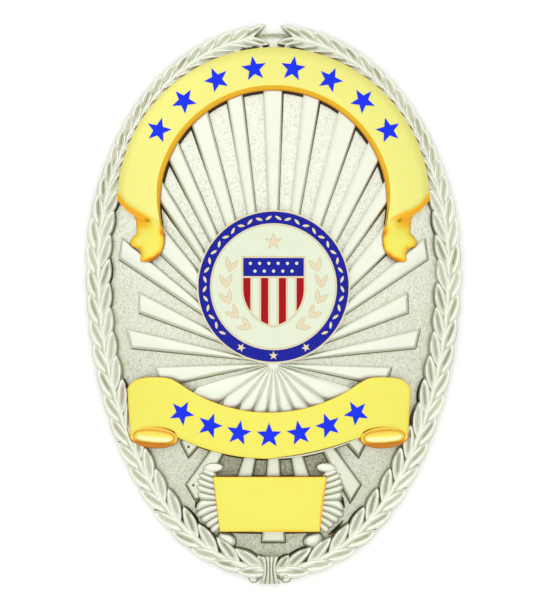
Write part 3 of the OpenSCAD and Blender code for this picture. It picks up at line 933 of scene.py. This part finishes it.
@dataclass
class Wreath:
    """Two laurel arms that meet at the top, with a fluted tie at the foot."""

    inset: float = 1.8
    pitches: Flat = (3.4, 2.2)  # beside the field, and along the banner
    leaf_l: float = 4.6
    leaf_w: float = 1.78
    leaf_h: float = 1.25
    leaf_foot: float = 0.14  # least height of a leaf
    narrows_at: float = 54.0  # length along the stem at which the leaves start to get smaller
    narrows_over: float = 12.0
    outer_splay: tuple[float, float] = (26.0, 31.0)  # at the widest line, and at the top and foot
    inner_splay: tuple[float, float] = (30.0, 36.0)
    leaf_bend: float = 0.2
    inner_lag: float = 1.3
    stem_w: float = 1.5
    stem_h: float = 0.95
    outer_tip: Flat = (1.1, 37.8)
    inner_tip: Flat = (0.55, 35.15)
    tie_x: float = -0.5
    # Where the inner edge gets a black painted shadow, by the stem's length
    dark_runs: tuple[Flat, ...] = ((0.0, 7.0), (9.0, 15.0), (30.0, 35.5), (58.0, 66.0), (90.0, 93.0))
    # Place across a leaf, 1 at its edge, with its share of the full height and its hollow: painted shade in
    # the middle groove and at the edge, and past 1 a painted shadow on the ground
    section: tuple[Three, ...] = (
        (0.0, 0.68, 0.5),
        (0.1, 0.71, 0.42),
        (0.26, 0.84, 0.2),
        (0.46, 0.97, 0.05),
        (0.66, 1.0, 0.0),
        (0.84, 0.9, 0.02),
        (0.95, 0.6, 0.2),
        (1.0, 0.3, 0.5),
        (1.26, 0.02, 0.9),
    )
    run_rows: list[Flat] = field(default_factory=list)

    def __post_init__(self) -> None:
        """Measures the stem once, as pairs of its length so far and its degrees."""
        run, last = 0.0, self.stem_at(-90)
        for degrees in range(-90, 91, 3):
            here = self.stem_at(degrees)
            run += math.dist(here, last)
            self.run_rows.append((run, float(degrees)))
            last = here

    def stem_at(self, degrees: float) -> Flat:
        """Returns the stem's place on the right arm, in degrees from +X."""
        x, y = turned(1.0, degrees)
        half = DOME.half_height(DOME.waist_y + y) - self.inset
        return x * (DOME.width / 2 - self.inset), DOME.waist_y + y * half

    def arm_at(self, run: float) -> Flat:
        """Returns the place at a length along the stem from its foot."""
        return self.stem_at(along_table(self.run_rows, run))

    def heading(self, run: float) -> float:
        """Returns the stem's direction there in degrees."""
        degrees = along_table(self.run_rows, run)
        x, y = turned(1.0, degrees)
        half = DOME.half_height(DOME.waist_y + y) - self.inset
        return math.degrees(math.atan2(half * x, -(DOME.width / 2 - self.inset) * y))

    def splay(self, run: float, pair: tuple[float, float]) -> float:
        """Returns a leaf's turn from the stem, from its values at the widest line and at the ends."""
        return mixed(*pair, turned(1.0, along_table(self.run_rows, run))[1] ** 2)

    def leaf_half(self, along: float) -> float:
        """Returns a leaf's half width, 1 at its widest, for a share of its length."""
        if along < 0.45:
            return 0.72 + 0.28 * (1 - ((0.45 - along) / 0.45) ** 2)
        return max(0.04, 1 - ((along - 0.45) / 0.55) ** 1.9) ** 0.85

    def leaf(self, foot: float) -> bpy.types.Mesh:
        """Makes one leaf of unit length and width, with raised rims and a groove, painted shade in the groove
        and a painted shadow on the ground beside it.

        Args:
            foot: How dark the painted shadow on the ground on its left side is, 0 to 1, or more for a wide
                black line.

        Returns:
            Its mesh.
        """
        work = Workpiece("leaf")
        left = [(-across, height, hollow) for across, height, hollow in reversed(self.section[1:])]
        section = [*left, *self.section]

        def place(t: float, s: float) -> Point:
            """Places a point of the leaf by its share along and across."""
            along = 1 - (1 - t) ** 1.5
            side, share, dark = section[round(s * (len(section) - 1))]
            half = self.leaf_half(along)
            if abs(side) > 1:
                wide = half + (abs(side) - 1) * (max(1.0, foot * 0.9) if side > 0 else 0.3)
                dark = min(1.0, dark * foot, 0.35 + 0.4 * foot) if side > 0 else dark * 0.6
                return along, math.copysign(wide * 0.5, side), 0.03, dark
            groove = eased((along - 0.1) / 0.2) * eased((0.95 - along) / 0.25)
            if abs(side) < 0.6:
                share, dark = mixed(0.95, share, groove), dark * groove
            rise = mixed(0.6, 1.0, eased(along / 0.75))
            tip = max(0.0, 1 - max(0.0, (along - 0.86) / 0.14) ** 2) ** 0.5
            # Painted shade at the leaf's root, under the leaf before it, and at its very tip
            dark = max(dark, 0.2 * (1 - eased(along / 0.2)), 0.25 * eased((along - 0.95) / 0.05))
            dark = min(1.0, 0.35 + 0.4 * foot) if foot > 1 and side > 0.99 else dark
            height = self.leaf_foot + (self.leaf_h - self.leaf_foot) * share * rise * mixed(0.4, 1.0, tip)
            return along, side * half * 0.5, height, dark

        work.grid(16, len(section) - 1, place)
        work.thicken(-0.15, 0.4)
        part = bpy.data.meshes.new("leaf")
        work.mesh.to_mesh(part)
        work.mesh.free()
        return part

    def narrowed(self, run: float) -> float:
        """Returns how far the arm has narrowed at a length along its stem, 0 to 1."""
        return eased((run - self.narrows_at) / self.narrows_over)

    def outer_runs(self, last: float) -> list[float]:
        """Returns where the outer leaves start along the stem, up to a last one."""
        runs = [0.45]
        while runs[-1] < last:
            runs.append(runs[-1] + mixed(*self.pitches, self.narrowed(runs[-1])))
        return [run * last / runs[-1] for run in runs]

    def arm(self, kinds: dict[str, bpy.types.Mesh], side: Side, finish: bpy.types.Material) -> None:
        """Makes one arm.

        Args:
            kinds: The meshes of the outer leaf and of the inner, pale and dark ones, which differ in the
                painted shadow beside them.
            side: The badge's side.
            finish: The metal.
        """
        work = Workpiece(f"laurel_{side.name.lower()}")
        first, last = 0.35, self.run_rows[-1][0] - 2.6

        def stem(t: float, s: float) -> Point:
            """Places a point of the stem by its share along and across."""
            run = mixed(first, last, t)
            x, y = self.arm_at(run)
            dx, dy = turned((s - 0.5) * self.stem_w, self.heading(run) + 90)
            return x + dx, y + dy, self.stem_h * max(0.0, math.sin(math.pi * s)) ** 0.5 + 0.02, 0.14

        work.grid(70, 6, stem)
        work.thicken(-0.1)
        base, turn = self.arm_at(first + 0.2), self.heading(first) + 58
        leaves = [(kinds["dark"], base, turn, 2.7, 1.5, -0.1)]
        for outer in self.outer_runs(last - 3.5):
            inner = outer + self.inner_lag
            small, foot = self.narrowed(outer), 1 - eased((outer - 1) / 10)
            long, wide = self.leaf_l * mixed(1.0, 0.78, small), self.leaf_w * mixed(1.0, 0.86, small)
            turn = self.heading(outer + long / 2) - self.splay(outer, self.outer_splay) + 15 * foot
            bend = self.leaf_bend - 0.13 * foot
            leaves.append((kinds["outer"], self.arm_at(outer), turn, long, wide, bend))
            # The right arm's inner leaves, whose inner edges face the light, get a fainter painted shadow
            # beside them
            kind = "pale" if side is Side.RIGHT else "inner"
            if any(low < inner + 2.5 < high for low, high in self.dark_runs):
                kind = "dark"
            turn = self.heading(inner + long / 2) + self.splay(inner, self.inner_splay)
            leaves.append((kinds[kind], self.arm_at(inner), turn, long, wide, -self.leaf_bend))
        for kind, back, tip in (("outer", 2.3, self.outer_tip), ("inner", 1.4, self.inner_tip)):
            base = self.arm_at(last - back)
            way = tip[0] - base[0], tip[1] - base[1]
            turn = math.degrees(math.atan2(way[1], way[0]))
            leaves.append((kinds[kind], base, turn, math.hypot(*way), 1.3, 0.0))
        for i, (part, base, heading, long, wide, bend) in enumerate(leaves):
            sway = math.sin(i * i * 1.7 + side.value)
            ca, sa = turned(1.0, heading + sway * 1.5)

            def place(co: Vector) -> Flat:
                """Bends and turns a leaf's point to its place on the arm."""
                u, v = co.x * long, co.y * wide + bend * long * co.x**2
                return base[0] + u * ca - v * sa, base[1] + u * sa + v * ca

            work.take(part, place, 1.25 if i > len(leaves) - 3 else 1 + 0.3 * sway)
        for v in work.mesh.verts:
            v.co.x *= side.value
        work.drape()
        work.hand_over([finish], [f"wreath_{side.name.lower()}"], smooth=60)

    def tie(self, finish: bpy.types.Material) -> None:
        """Makes the fluted sheaf, its band and its two curls."""
        work = Workpiece("tie_sheaf")
        top, low, waist = -34.3, -38.05, -35.8
        flutes = 4
        for i in range(flutes):
            across = 2 * i / (flutes - 1) - 1

            def place(s: float, t: float) -> Point:
                """Places a point of a flute by its share across and up."""
                y = mixed(low + 0.05, top, t)
                flare = ((y - waist) / (top - waist if y > waist else low - waist)) ** 2
                half = 0.6 + (0.3 if y > waist else 0.45) * flare
                x = across * half + (s - 0.5) * 2.1 * half / (flutes - 1)
                round_ = max(0.0, math.sin(math.pi * s)) ** 0.6
                ends = min(1.0, 6 * t + 0.4, 6 * (1 - t) + 0.4)
                height = 1.15 + 0.45 * round_ * ends * (1 - 0.12 * flare)
                # Painted shade between the flutes and at their ends; darker towards the bottom of the lower
                # flare
                dark = 0.3 * (1 - round_) ** 2 + 0.06 + 0.15 * (1 - ends) + 0.2 * flare * (y < waist)
                return x, y, height, dark

            flute = Workpiece("flute")
            flute.grid(8, 16, place)
            flute.thicken(0.0, 0.4)
            work.join(flute)
        for side in (-1, 1):
            work.bead(side * 2.15, -37.1, (0.62, 0.66, 1.2), 0.0, foot=0.5)
            work.bead(side * 1.45, -36.8, (0.8, 0.42, 0.9), side * -24.0, foot=0.6)
        work.shift(self.tie_x)
        work.drape()
        work.hand_over([finish], ["wreath_tie"], smooth=60)

    def build(self, finish: bpy.types.Material) -> None:
        """Makes both arms and the tie."""
        # How dark each kind's painted shadow on the ground beside it is
        feet = {"outer": 0.0, "inner": 1.2, "pale": 0.6, "dark": 1.5}
        kinds = {kind: self.leaf(foot) for kind, foot in feet.items()}
        for side in Side:
            self.arm(kinds, side, finish)
        for part in kinds.values():
            bpy.data.meshes.remove(part)
        self.tie(finish)


@dataclass
class Banner:
    """Arched gold banner with a sloping inner wall and a turned-under tail at each end."""

    centre_y: float = 13.5
    height: float = 1.55
    steps: int = 120
    # Radius, height and hollow (the painted shade) of the section: the walls are painted dark, black at the
    # foot, and the last rows lie on the field as a black painted shadow
    section: tuple[Three, ...] = (
        (21.2, 0.02, 1.0),
        (21.2, 1.42, 0.88),
        (21.17, 1.5, 0.1),
        (21.08, 1.55, 0.0),
        (19.9, 1.55, 0.0),
        (18.6, 1.55, 0.0),
        (17.3, 1.55, 0.0),
        (16.12, 1.55, 0.0),
        (16.02, 1.53, 0.2),
        (15.94, 1.47, 0.46),
        (15.8, 1.34, 0.32),
        (15.6, 1.17, 0.38),
        (15.42, 1.0, 0.5),
        (15.35, 0.86, 0.7),
        (15.32, 0.1, 1.0),
        (15.05, 0.03, 1.0),
        (14.95, 0.02, 1.0),
    )
    # Degrees below level at which each radius ends
    end_rows: tuple[Flat, ...] = (
        (14.95, 10.4), (15.7, 11.6), (16.4, 11.2), (17.6, 7.4), (18.69, 5.53), (20.12, 2.42), (21.2, -1.6),
    )
    outer_shadows: tuple[Flat, ...] = ((95.2, 102.6), (79.0, 84.2))  # degrees from +X of the black painted shadows outside the arch
    outer_shadow_w: float = 0.5
    # The orange line of painted shade along the fold on the right tail: where it starts, and each step along
    # it
    fold_from: Flat = (18.5, 12.5)
    fold_step: Flat = (0.3, 0.145)
    tail: tuple[Flat, ...] = (
        (-18.6, 12.0), (-18.6, 11.2), (-18.55, 10.2), (-18.5, 9.5), (-18.95, 9.05), (-19.32, 8.6),
        (-19.4, 8.2), (-19.2, 7.75), (-18.75, 7.55), (-18.2, 7.25), (-17.97, 6.75), (-18.0, 6.15),
        (-17.95, 5.68), (-17.1, 5.62), (-16.1, 5.88), (-15.35, 6.6), (-14.85, 7.75), (-14.75, 8.95),
        (-14.87, 10.05), (-15.2, 10.75), (-15.5, 11.5), (-15.6, 12.3),
    )
    tail_core: tuple[Flat, ...] = ((-16.5, 10.4), (-17.0, 9.6), (-17.4, 8.6), (-16.6, 8.2), (-16.5, 7.2))
    # How far in towards the core, how high and how hollow, as painted shade that darkens the edges
    tail_steps: tuple[Three, ...] = (
        (0.0, 0.02, 1.0),
        (0.0, 0.9, 0.85),
        (0.03, 0.98, 0.46),
        (0.12, 1.1, 0.28),
        (0.25, 1.19, 0.12),
        (0.45, 1.24, 0.04),
        (0.75, 1.26, 0.0),
    )

    def band(self, finish: bpy.types.Material) -> None:
        """Makes the arch."""
        work = Workpiece("banner_arch")
        mesh = work.mesh
        line = [mesh.verts.new((r, 0.0, z)) for r, z, _ in self.section]
        for v, (_, _, hollow) in zip(line, self.section):
            v[work.tone_and_shade] = hollow
        edges = [mesh.edges.new(pair) for pair in zip(line, line[1:] + line[:1])]
        bmesh.ops.spin(
            mesh, geom=line + edges, cent=(0, 0, 0), axis=(0, 0, 1),
            angle=2.0, steps=self.steps, use_merge=False,
        )
        bmesh.ops.holes_fill(mesh, edges=[e for e in mesh.edges if e.is_boundary], sides=0)
        fine = 5  # steps at each end that are only a little apart
        for v in mesh.verts:
            r, step = math.hypot(v.co.x, v.co.y), math.atan2(v.co.y, v.co.x) / 2.0 * self.steps
            from_end = min(step, self.steps - step)
            end = along_table(self.end_rows, r)
            whole, edge = 90 + end, math.degrees(1.6 / r)
            if from_end < fine:
                inward = edge * from_end / fine
            else:
                inward = mixed(edge, whole, (from_end - fine) / (self.steps / 2 - fine))
            degrees = (-end + inward) if step < self.steps / 2 else (180 + end - inward)
            x, y = turned(r, degrees)
            rolled = (1 - eased(from_end / fine)) * eased((r - 16.2) / 1.5)
            # The ends turn down, their rim painted orange as shade
            if v.co.z > 0.5 and r > 15.9:
                v.co.z -= 0.35 * rolled
                v[work.tone_and_shade] = max(v[work.tone_and_shade], 0.45 * eased(1.6 * rolled))
            # The inner wall stands up straighter towards the tails
            upright = 1 - eased((inward - 2) / 26)
            if r < 16.3:
                r = mixed(r, 15.3 + (r - 15.3) * 0.4, upright)
                x, y = turned(r, degrees)
            v.co.x, v.co.y = x, y + self.centre_y
        # Black painted shadows on the field just outside the arch, near its top
        for first, last in self.outer_shadows:
            arc = [turned(21.18, mixed(first, last, i / 12)) for i in range(13)]
            work.shadow([(x, y + self.centre_y) for x, y in arc], self.outer_shadow_w, 1.48)
        # An orange line of painted shade along the right tail's fold
        (x, y), (along, down) = self.fold_from, self.fold_step
        work.shadow([(x - along * i, y - down * i) for i in range(10)], 0.26, self.height + 0.03, 0.36)
        work.drape()
        work.hand_over([finish], ["upper_banner"], smooth=35)

    def tails(self, finish: bpy.types.Material) -> None:
        """Makes both tails."""
        work = Workpiece("banner_tails")
        work.pillow(rounded(self.tail, 4), self.tail_core, self.tail_steps)
        for v in work.mesh.verts:
            if v.co.z > 0.5:
                # Painted shade inside the fold under the band's end, and on the edges that face down and in
                # towards the middle
                under = eased((v.co.y - 9.7) / 0.9) * (1 - eased((v.co.x + 17.7) / 1.8))
                cx, cy = nearest((v.co.x, v.co.y), self.tail_core)
                away = Vector((v.co.x - cx, v.co.y - cy, 0.001)).normalized()
                low = eased(0.4 * away.x - 0.9 * away.y) * (1 - eased((v.co.z - 1.2) / 0.06))
                v[work.tone_and_shade] = max(v[work.tone_and_shade], 0.4 * under, 0.72 * low)
                v.co.z += 0.27 * eased((v.co.y - 8.2) / 1.6) * eased((v.co.x + 17.9) / 1.5) - 0.3 * under
        work.mirrored()
        work.drape()
        work.hand_over([finish], smooth=60)

    def build(self, finish: bpy.types.Material, tail_finish: bpy.types.Material) -> None:
        """Makes the banner."""
        self.band(finish)
        self.tails(tail_finish)


@dataclass
class Ribbon:
    """Hanging gold ribbon with a rolled end on each side."""

    middle_x: float = -0.6
    height: float = 1.55
    bend: float = 12.6
    side: float = 19.2
    roll: Flat = (15.6, -18.1)
    roll_rx: float = 3.3
    roll_ry: float = 1.5
    roll_turn: float = 4.0
    roll_core: tuple[Flat, ...] = ((-1.9, 0.0), (1.9, 0.0))
    # How far in towards the roll's middle line, how high and how hollow: orange rings of painted shade, and a
    # near-white painted highlight at 0 in the middle
    roll_steps: tuple[Three, ...] = (
        (0.0, 0.02, 1.0),
        (0.0, 1.42, 0.85),
        (0.05, 1.52, 0.5),
        (0.11, 1.57, 0.42),
        (0.16, 1.57, 0.18),
        (0.26, 1.5, 0.2),
        (0.32, 1.45, 0.5),
        (0.4, 1.45, 0.5),
        (0.47, 1.57, 0.24),
        (0.6, 1.65, 0.08),
        (0.75, 1.7, 0.0),
        (0.9, 1.7, 0.0),
    )
    end_top: tuple[Flat, ...] = (
        (12.2, -10.72), (13.2, -10.2), (14.0, -9.99), (15.2, -9.93), (16.6, -9.97), (17.8, -10.2),
        (18.7, -10.7), (19.2, -11.5),
    )

    def top_y(self, x: float) -> float:
        """Returns the height of the ribbon's upper edge."""
        if abs(x) <= 12.2:
            return 6 - math.sqrt(20.7**2 - x * x)
        return along_table(self.end_top, abs(x))

    def low_y(self, x: float) -> float:
        """Returns the height of the ribbon's lower edge."""
        if abs(x) <= self.bend:
            return 7 - math.sqrt(28.0**2 - x * x)
        share = min(1.0, abs(abs(x) - self.roll[0]) / self.roll_rx)
        return self.roll[1] + (self.roll_ry - 0.1) * math.sqrt(1 - share**2)

    def build(
        self, finish: bpy.types.Material, roll_finish: bpy.types.Material, edge_finish: bpy.types.Material
    ) -> None:
        """Makes the ribbon, the strips of painted shade and painted sheen along its lower edge, and its
        rolled ends.

        Args:
            finish: The ribbon's gold.
            roll_finish: The rolled ends' gold.
            edge_finish: The silver of the painted sheen along the lower edge.
        """
        shade_and_sheen_line = [(x / 2, self.low_y(x / 2)) for x in range(24, 0, -1)]
        work = Workpiece("ribbon_band")

        def place(s: float, t: float) -> Point:
            """Places a point of the band by its share across and up."""
            x = mixed(-self.side, self.side, s)
            y = mixed(self.low_y(x), self.top_y(x), t)
            pinch = 1 - 0.02 * (1 - t) * eased((abs(x) - 17) / 2)
            return x * pinch, y, self.height, 0.0

        work.grid(96, 10, place)
        work.thicken(GROUND)
        work.soften(0.1, 2)
        work.panelled(self.height, 0.4, 1.5)
        # A black painted shadow below the lower edge, and a dark painted shade on the face along the right
        # half of that edge
        work.shadow([(x / 2, self.low_y(x / 2)) for x in range(-25, 26)], 0.24, 0.66)
        work.shadow(shade_and_sheen_line, 0.38, self.height + 0.01, 0.88)
        work.shift(self.middle_x)
        work.drape()
        work.hand_over([finish], ["lower_ribbon"], smooth=35)

        # A thin silver strip over that shade, a painted sheen of the ribbon's lower wall
        edge = Workpiece("ribbon_edge")
        edge.shadow(shade_and_sheen_line, 0.24, self.height + 0.03, 0.36)
        edge.shift(self.middle_x)
        edge.drape()
        edge.hand_over([edge_finish])

        rolls = Workpiece("ribbon_rolls")
        for side in (-1, 1):
            roll = Workpiece("roll")
            oval = [turned(1.0, i * 5) for i in range(72)]
            outline = [(self.roll_rx * x, self.roll_ry * y) for x, y in oval]
            roll.pillow(outline, self.roll_core, self.roll_steps)
            ca, sa = turned(1.0, side * self.roll_turn)
            for v in roll.mesh.verts:
                x, y = v.co.x, v.co.y
                # Painted shade on the lower half of the rings; on the core only the lower part keeps the
                # near-white painted highlight
                below = eased((-y / self.roll_ry - 0.05) / 0.5)
                if 1.3 < v.co.z < 1.58:
                    v[roll.tone_and_shade] = max(v[roll.tone_and_shade], 0.7 * below)
                elif v.co.z > 1.3:
                    v[roll.tone_and_shade] = max(v[roll.tone_and_shade], 0.26 * eased((y / self.roll_ry + 0.12) / 0.4))
                v.co.x, v.co.y = side * self.roll[0] + x * ca - y * sa, self.roll[1] + x * sa + y * ca
            rolls.join(roll)
        rolls.shift(self.middle_x)
        rolls.drape()
        rolls.hand_over([roll_finish], smooth=60)


@dataclass
class NumberPlate:
    """Bare gold plate with a scroll on each side."""

    middle_x: float = -0.5
    top: float = -23.4
    low: float = -30.9
    top_w: float = 15.4
    low_w: float = 13.6
    height: float = 1.55
    # For each groove of a scroll, where it leaves the plate, where it ends and how far it sags
    grooves: tuple[Four, ...] = (
        (-22.8, 8.8, -22.3, 0.0),
        (-23.55, 9.4, -22.75, 0.1),
        (-24.35, 9.75, -23.45, 0.12),
        (-25.15, 9.92, -24.35, 0.12),
        (-25.95, 9.92, -25.3, 0.1),
        (-26.65, 9.65, -26.55, 0.0),
        (-27.25, 10.25, -28.45, -0.3),
        (-27.95, 9.65, -29.2, -0.18),
        (-28.7, 8.9, -29.9, -0.12),
        (-29.5, 8.25, -30.55, -0.1),
        (-30.35, 7.6, -31.2, 0.0),
    )
    shell: tuple[Flat, ...] = (
        (7.2, -22.8), (8.1, -22.3), (8.9, -22.4), (9.4, -23.0), (9.7, -23.8), (9.8, -24.8), (9.7, -25.8),
        (9.5, -26.6), (9.7, -27.4), (9.95, -28.4), (9.4, -29.1), (8.7, -29.8), (8.0, -30.5), (7.3, -31.1),
        (6.8, -30.9),
    )

    def groove_at(self, groove: Four, share: float) -> Flat:
        """Returns the place on a groove at a share of its way out."""
        start, end_x, end_y, sag = groove
        inner = mixed(self.top_w / 2, self.low_w / 2, (start - self.top) / (self.low - self.top)) - 0.25
        return mixed(inner, end_x, share), mixed(start, end_y, share) - 4 * sag * share * (1 - share)

    def plate(self, finish: bpy.types.Material) -> None:
        """Makes the plate."""
        work = Workpiece("bare_plate")

        def place(s: float, t: float) -> Point:
            """Places a point of the plate by its share across and up."""
            x, y = (s - 0.5) * mixed(self.low_w, self.top_w, t), mixed(self.low, self.top, t)
            return x, y, self.height, 0.0

        work.grid(16, 8, place)
        work.thicken(GROUND)
        work.soften(0.13, 3)
        work.panelled(self.height, 0.42, 1.46)
        # Black painted shadows above the top edge and below the bottom edge, and orange painted shade along
        # the right edge and the right part of the bottom edge
        work.shadow([(x / 10, self.top) for x in range(74, -75, -4)], 0.16, 0.66)
        work.shadow([(x / 10, self.low) for x in range(-66, 67, 4)], 0.34, 0.3)
        shares = [i / 8 for i in range(9)]
        right = [(mixed(self.top_w, self.low_w, t) / 2, mixed(self.top, self.low, t)) for t in shares]
        work.shadow(right, 0.28, self.height + 0.01, 0.4)
        work.shadow([(x, self.low) for x in range(6, -3, -1)], 0.24, self.height + 0.01, 0.34)
        work.shift(self.middle_x)
        work.drape()
        work.hand_over([finish], ["number_plate"], smooth=35)

    def scroll(self, side: int, finish: bpy.types.Material) -> None:
        """Makes one scroll: a fluted shell between two curls.

        Args:
            side: 1 for the right, -1 for the left.
            finish: The metal.
        """
        name = "right" if side > 0 else "left"
        work = Workpiece(f"scroll_shell_{name}")
        # The shell's body, painted darker at its edge as shade
        work.cushion(self.shell, GROUND, [(0, 0.4, 0.6), (0.06, 0.5, 0.5), (0.1, 0.55, 0.4)])
        for upper, lower in zip(self.grooves, self.grooves[1:]):

            def place(t: float, s: float, pair: tuple = (lower, upper)) -> Point:
                """Places a point of a flute by its share out and across."""
                end = math.sqrt(max(0.0, 1 - max(0.0, (t - 0.75) / 0.25) ** 2))
                (ax, ay), (bx, by) = (self.groove_at(groove, t) for groove in pair)
                across = 0.5 + (s - 0.5) * mixed(0.35, 1.02, end)
                up = max(0.0, math.sin(math.pi * s)) ** 0.5
                # Painted shade between the flutes and towards their ends
                dark = 0.27 * (1 - up) ** 1.3 + 0.1 + 0.1 * (1 - end)
                height = 0.6 + 0.34 * up * mixed(0.3, 1.0, end)
                return mixed(ax, bx, across), mixed(ay, by, across), height, dark

            flute = Workpiece("flute")
            flute.grid(12, 8, place)
            flute.thicken(0.05)
            work.join(flute)
        # Black painted shadows at the shell's pinch and along its lower edge
        work.shadow([(10.1, -27.7), (9.75, -27.2), (9.68, -26.8), (9.8, -26.2)], 0.42, 0.3)
        work.shadow([(7.9, -31.35), (8.5, -30.75), (9.2, -30.1), (9.95, -29.4)], 0.3, 0.3)
        work.bead(7.7, -22.28, (1.42, 0.78, 0.4), -6.0, base=0.55, foot=0.6)
        work.bead(5.9, -32.1, (1.4, 1.15, 0.7), 30.0, foot=0.8)
        for v in work.mesh.verts:
            v.co.x = side * v.co.x + self.middle_x
        work.drape()
        work.hand_over([finish], [f"scroll_{name}"], smooth=60)

    def build(self, gold: bpy.types.Material, silver: bpy.types.Material) -> None:
        """Makes the plate and its scrolls."""
        self.plate(gold)
        for side in (1, -1):
            self.scroll(side, silver)


@dataclass
class Stars:
    """Blue enamel stars on the banner and on the ribbon."""

    radius: float = 1.75
    inner: float = 0.42
    panel_h: float = 1.55
    upper_r: float = 18.45
    upper_y: float = 13.5
    upper_step: float = 16.4
    lower_x: float = -0.6
    lower_y: float = 6.4
    lower_r: float = 24.25
    lower_at: tuple[float, ...] = (-11.8, -8, -4.1, 0, 4.1, 8, 11.8)

    def star(self, work: Workpiece, x: float, y: float, turn: float) -> None:
        """Adds a star whose first point is turned from +Y by some degrees."""
        reaches = (self.radius, self.radius * self.inner)
        outline = [turned(reaches[i % 2], 90 + turn + i * 36) for i in range(10)]
        base = self.panel_h
        steps = [(0, base + 0.05, 0.3), (0.07, base + 0.1, 0.0), (0.1, base + 0.12, 0.0)]
        work.cushion([(x + px, y + py) for px, py in outline], base - 0.05, steps)

    def build(self, finish: bpy.types.Material) -> None:
        """Makes both rows."""
        upper = Workpiece("banner_stars")
        for i in range(8):
            degrees = (i - 3.5) * self.upper_step
            x, y = turned(self.upper_r, 90 - degrees)
            self.star(upper, x, y + self.upper_y, -degrees)
        upper.drape()
        upper.hand_over([finish], ["upper_stars"], smooth=30)
        lower = Workpiece("ribbon_stars")
        for across in self.lower_at:
            degrees = math.degrees(math.asin(across / self.lower_r))
            x, y = turned(self.lower_r, degrees - 90)
            self.star(lower, x + self.lower_x, y + self.lower_y, degrees)
        lower.drape()
        lower.hand_over([finish], ["lower_stars"], smooth=30)


@dataclass
class Seal:
    """Enamelled seal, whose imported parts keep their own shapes."""

    finishes: dict[str, bpy.types.Material] = field(default_factory=dict)

    def build(self) -> None:
        """Dresses the seal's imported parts."""
        for node, finish in self.finishes.items():
            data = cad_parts[node].data
            data.materials.clear()
            data.materials.append(finish)
            LOG.info("%s: dressed", node)


@dataclass
class Studio:
    """Pale floor, soft lights and the camera straight over the badge."""

    lens: float = 400.0
    sensor: float = 36.0
    view_h: float = 81.21
    aim: Three = (-0.474, 0.474, 3.0)

    def floor(self) -> None:
        """Makes the floor."""
        work = bmesh.new()
        bmesh.ops.create_grid(work, x_segments=1, y_segments=1, size=4.0)
        data = bpy.data.meshes.new("floor")
        work.to_mesh(data)
        work.free()
        bench = Bench("floor_paint")
        tint = bench.noise(40.0, 2.0, 0.5)
        colour = bench.blend(tint, (0.98, 0.98, 0.98), (0.99, 0.99, 0.99))
        glow = {"Emission Color": (1.0, 1.0, 1.0, 1.0), "Emission Strength": 0.18}
        data.materials.append(bench.finish({"Base Color": colour, "Roughness": 0.9} | glow))
        floor = bpy.data.objects.new("floor", data)
        bpy.context.scene.collection.objects.link(floor)

    def light(self, name: str, place: Three, size: float, radiance: float) -> None:
        """Hangs a square soft light that faces the badge.

        Args:
            name: The light's name.
            place: Its place in metres.
            size: Its side in metres.
            radiance: How bright its face is.
        """
        lamp = bpy.data.lights.new(name, "AREA")
        lamp.shape, lamp.size = "SQUARE", size
        lamp.energy = radiance * math.pi * size**2
        holder = bpy.data.objects.new(name, lamp)
        holder.location = place
        holder.rotation_mode = "QUATERNION"
        holder.rotation_quaternion = Vector(place).to_track_quat("Z", "Y")
        bpy.context.scene.collection.objects.link(holder)

    def build(self) -> None:
        """Sets the stage."""
        scene = bpy.context.scene
        scene.view_settings.view_transform = "Standard"
        world = bpy.data.worlds.new("studio")
        world.use_nodes = True
        world.node_tree.nodes["Background"].inputs["Color"].default_value = (0.96, 0.97, 0.94, 1)
        world.node_tree.nodes["Background"].inputs["Strength"].default_value = 0.71
        scene.world = world
        self.floor()
        self.light("overhead", (0.0, 0.0, 1.3), 2.4, 0.55)
        self.light("key", (-0.6, 0.6, 0.8), 0.4, 1.0)
        data = bpy.data.cameras.new("camera")
        data.lens, data.sensor_width = self.lens, self.sensor
        data.clip_start, data.clip_end = 0.05, 20.0
        camera = bpy.data.objects.new("camera", data)
        x, y, z = (c * MM for c in self.aim)
        camera.location = (x, y, z + self.view_h * MM * self.lens / self.sensor)
        scene.collection.objects.link(camera)
        scene.camera = camera


def main() -> None:
    """Builds the badge and its stage."""
    logging.basicConfig(level=logging.INFO, format="%(message)s")
    silver, gold = LEAF.make(), GOLD.make()
    Studio().build()
    Field().build(FIELD.make(), BACK.make())
    Sunburst().build(RAY.make())
    Wreath().build(silver)
    deep_gold = DEEP_GOLD.make()
    Banner().build(gold, deep_gold)
    Ribbon().build(deep_gold, ROLL.make(), silver)
    NumberPlate().build(deep_gold, silver)
    Stars().build(BRIGHT_BLUE.make())
    parts = {
        "seal_base": CHAMPAGNE.make(),
        "seal_blue": BLUE.make(),
        "seal_white": WHITE.make(),
        "seal_red": RED.make(),
        "back_pin": STEEL.make(),
    }
    Seal(parts).build()


if __name__ == "__main__":
    main()
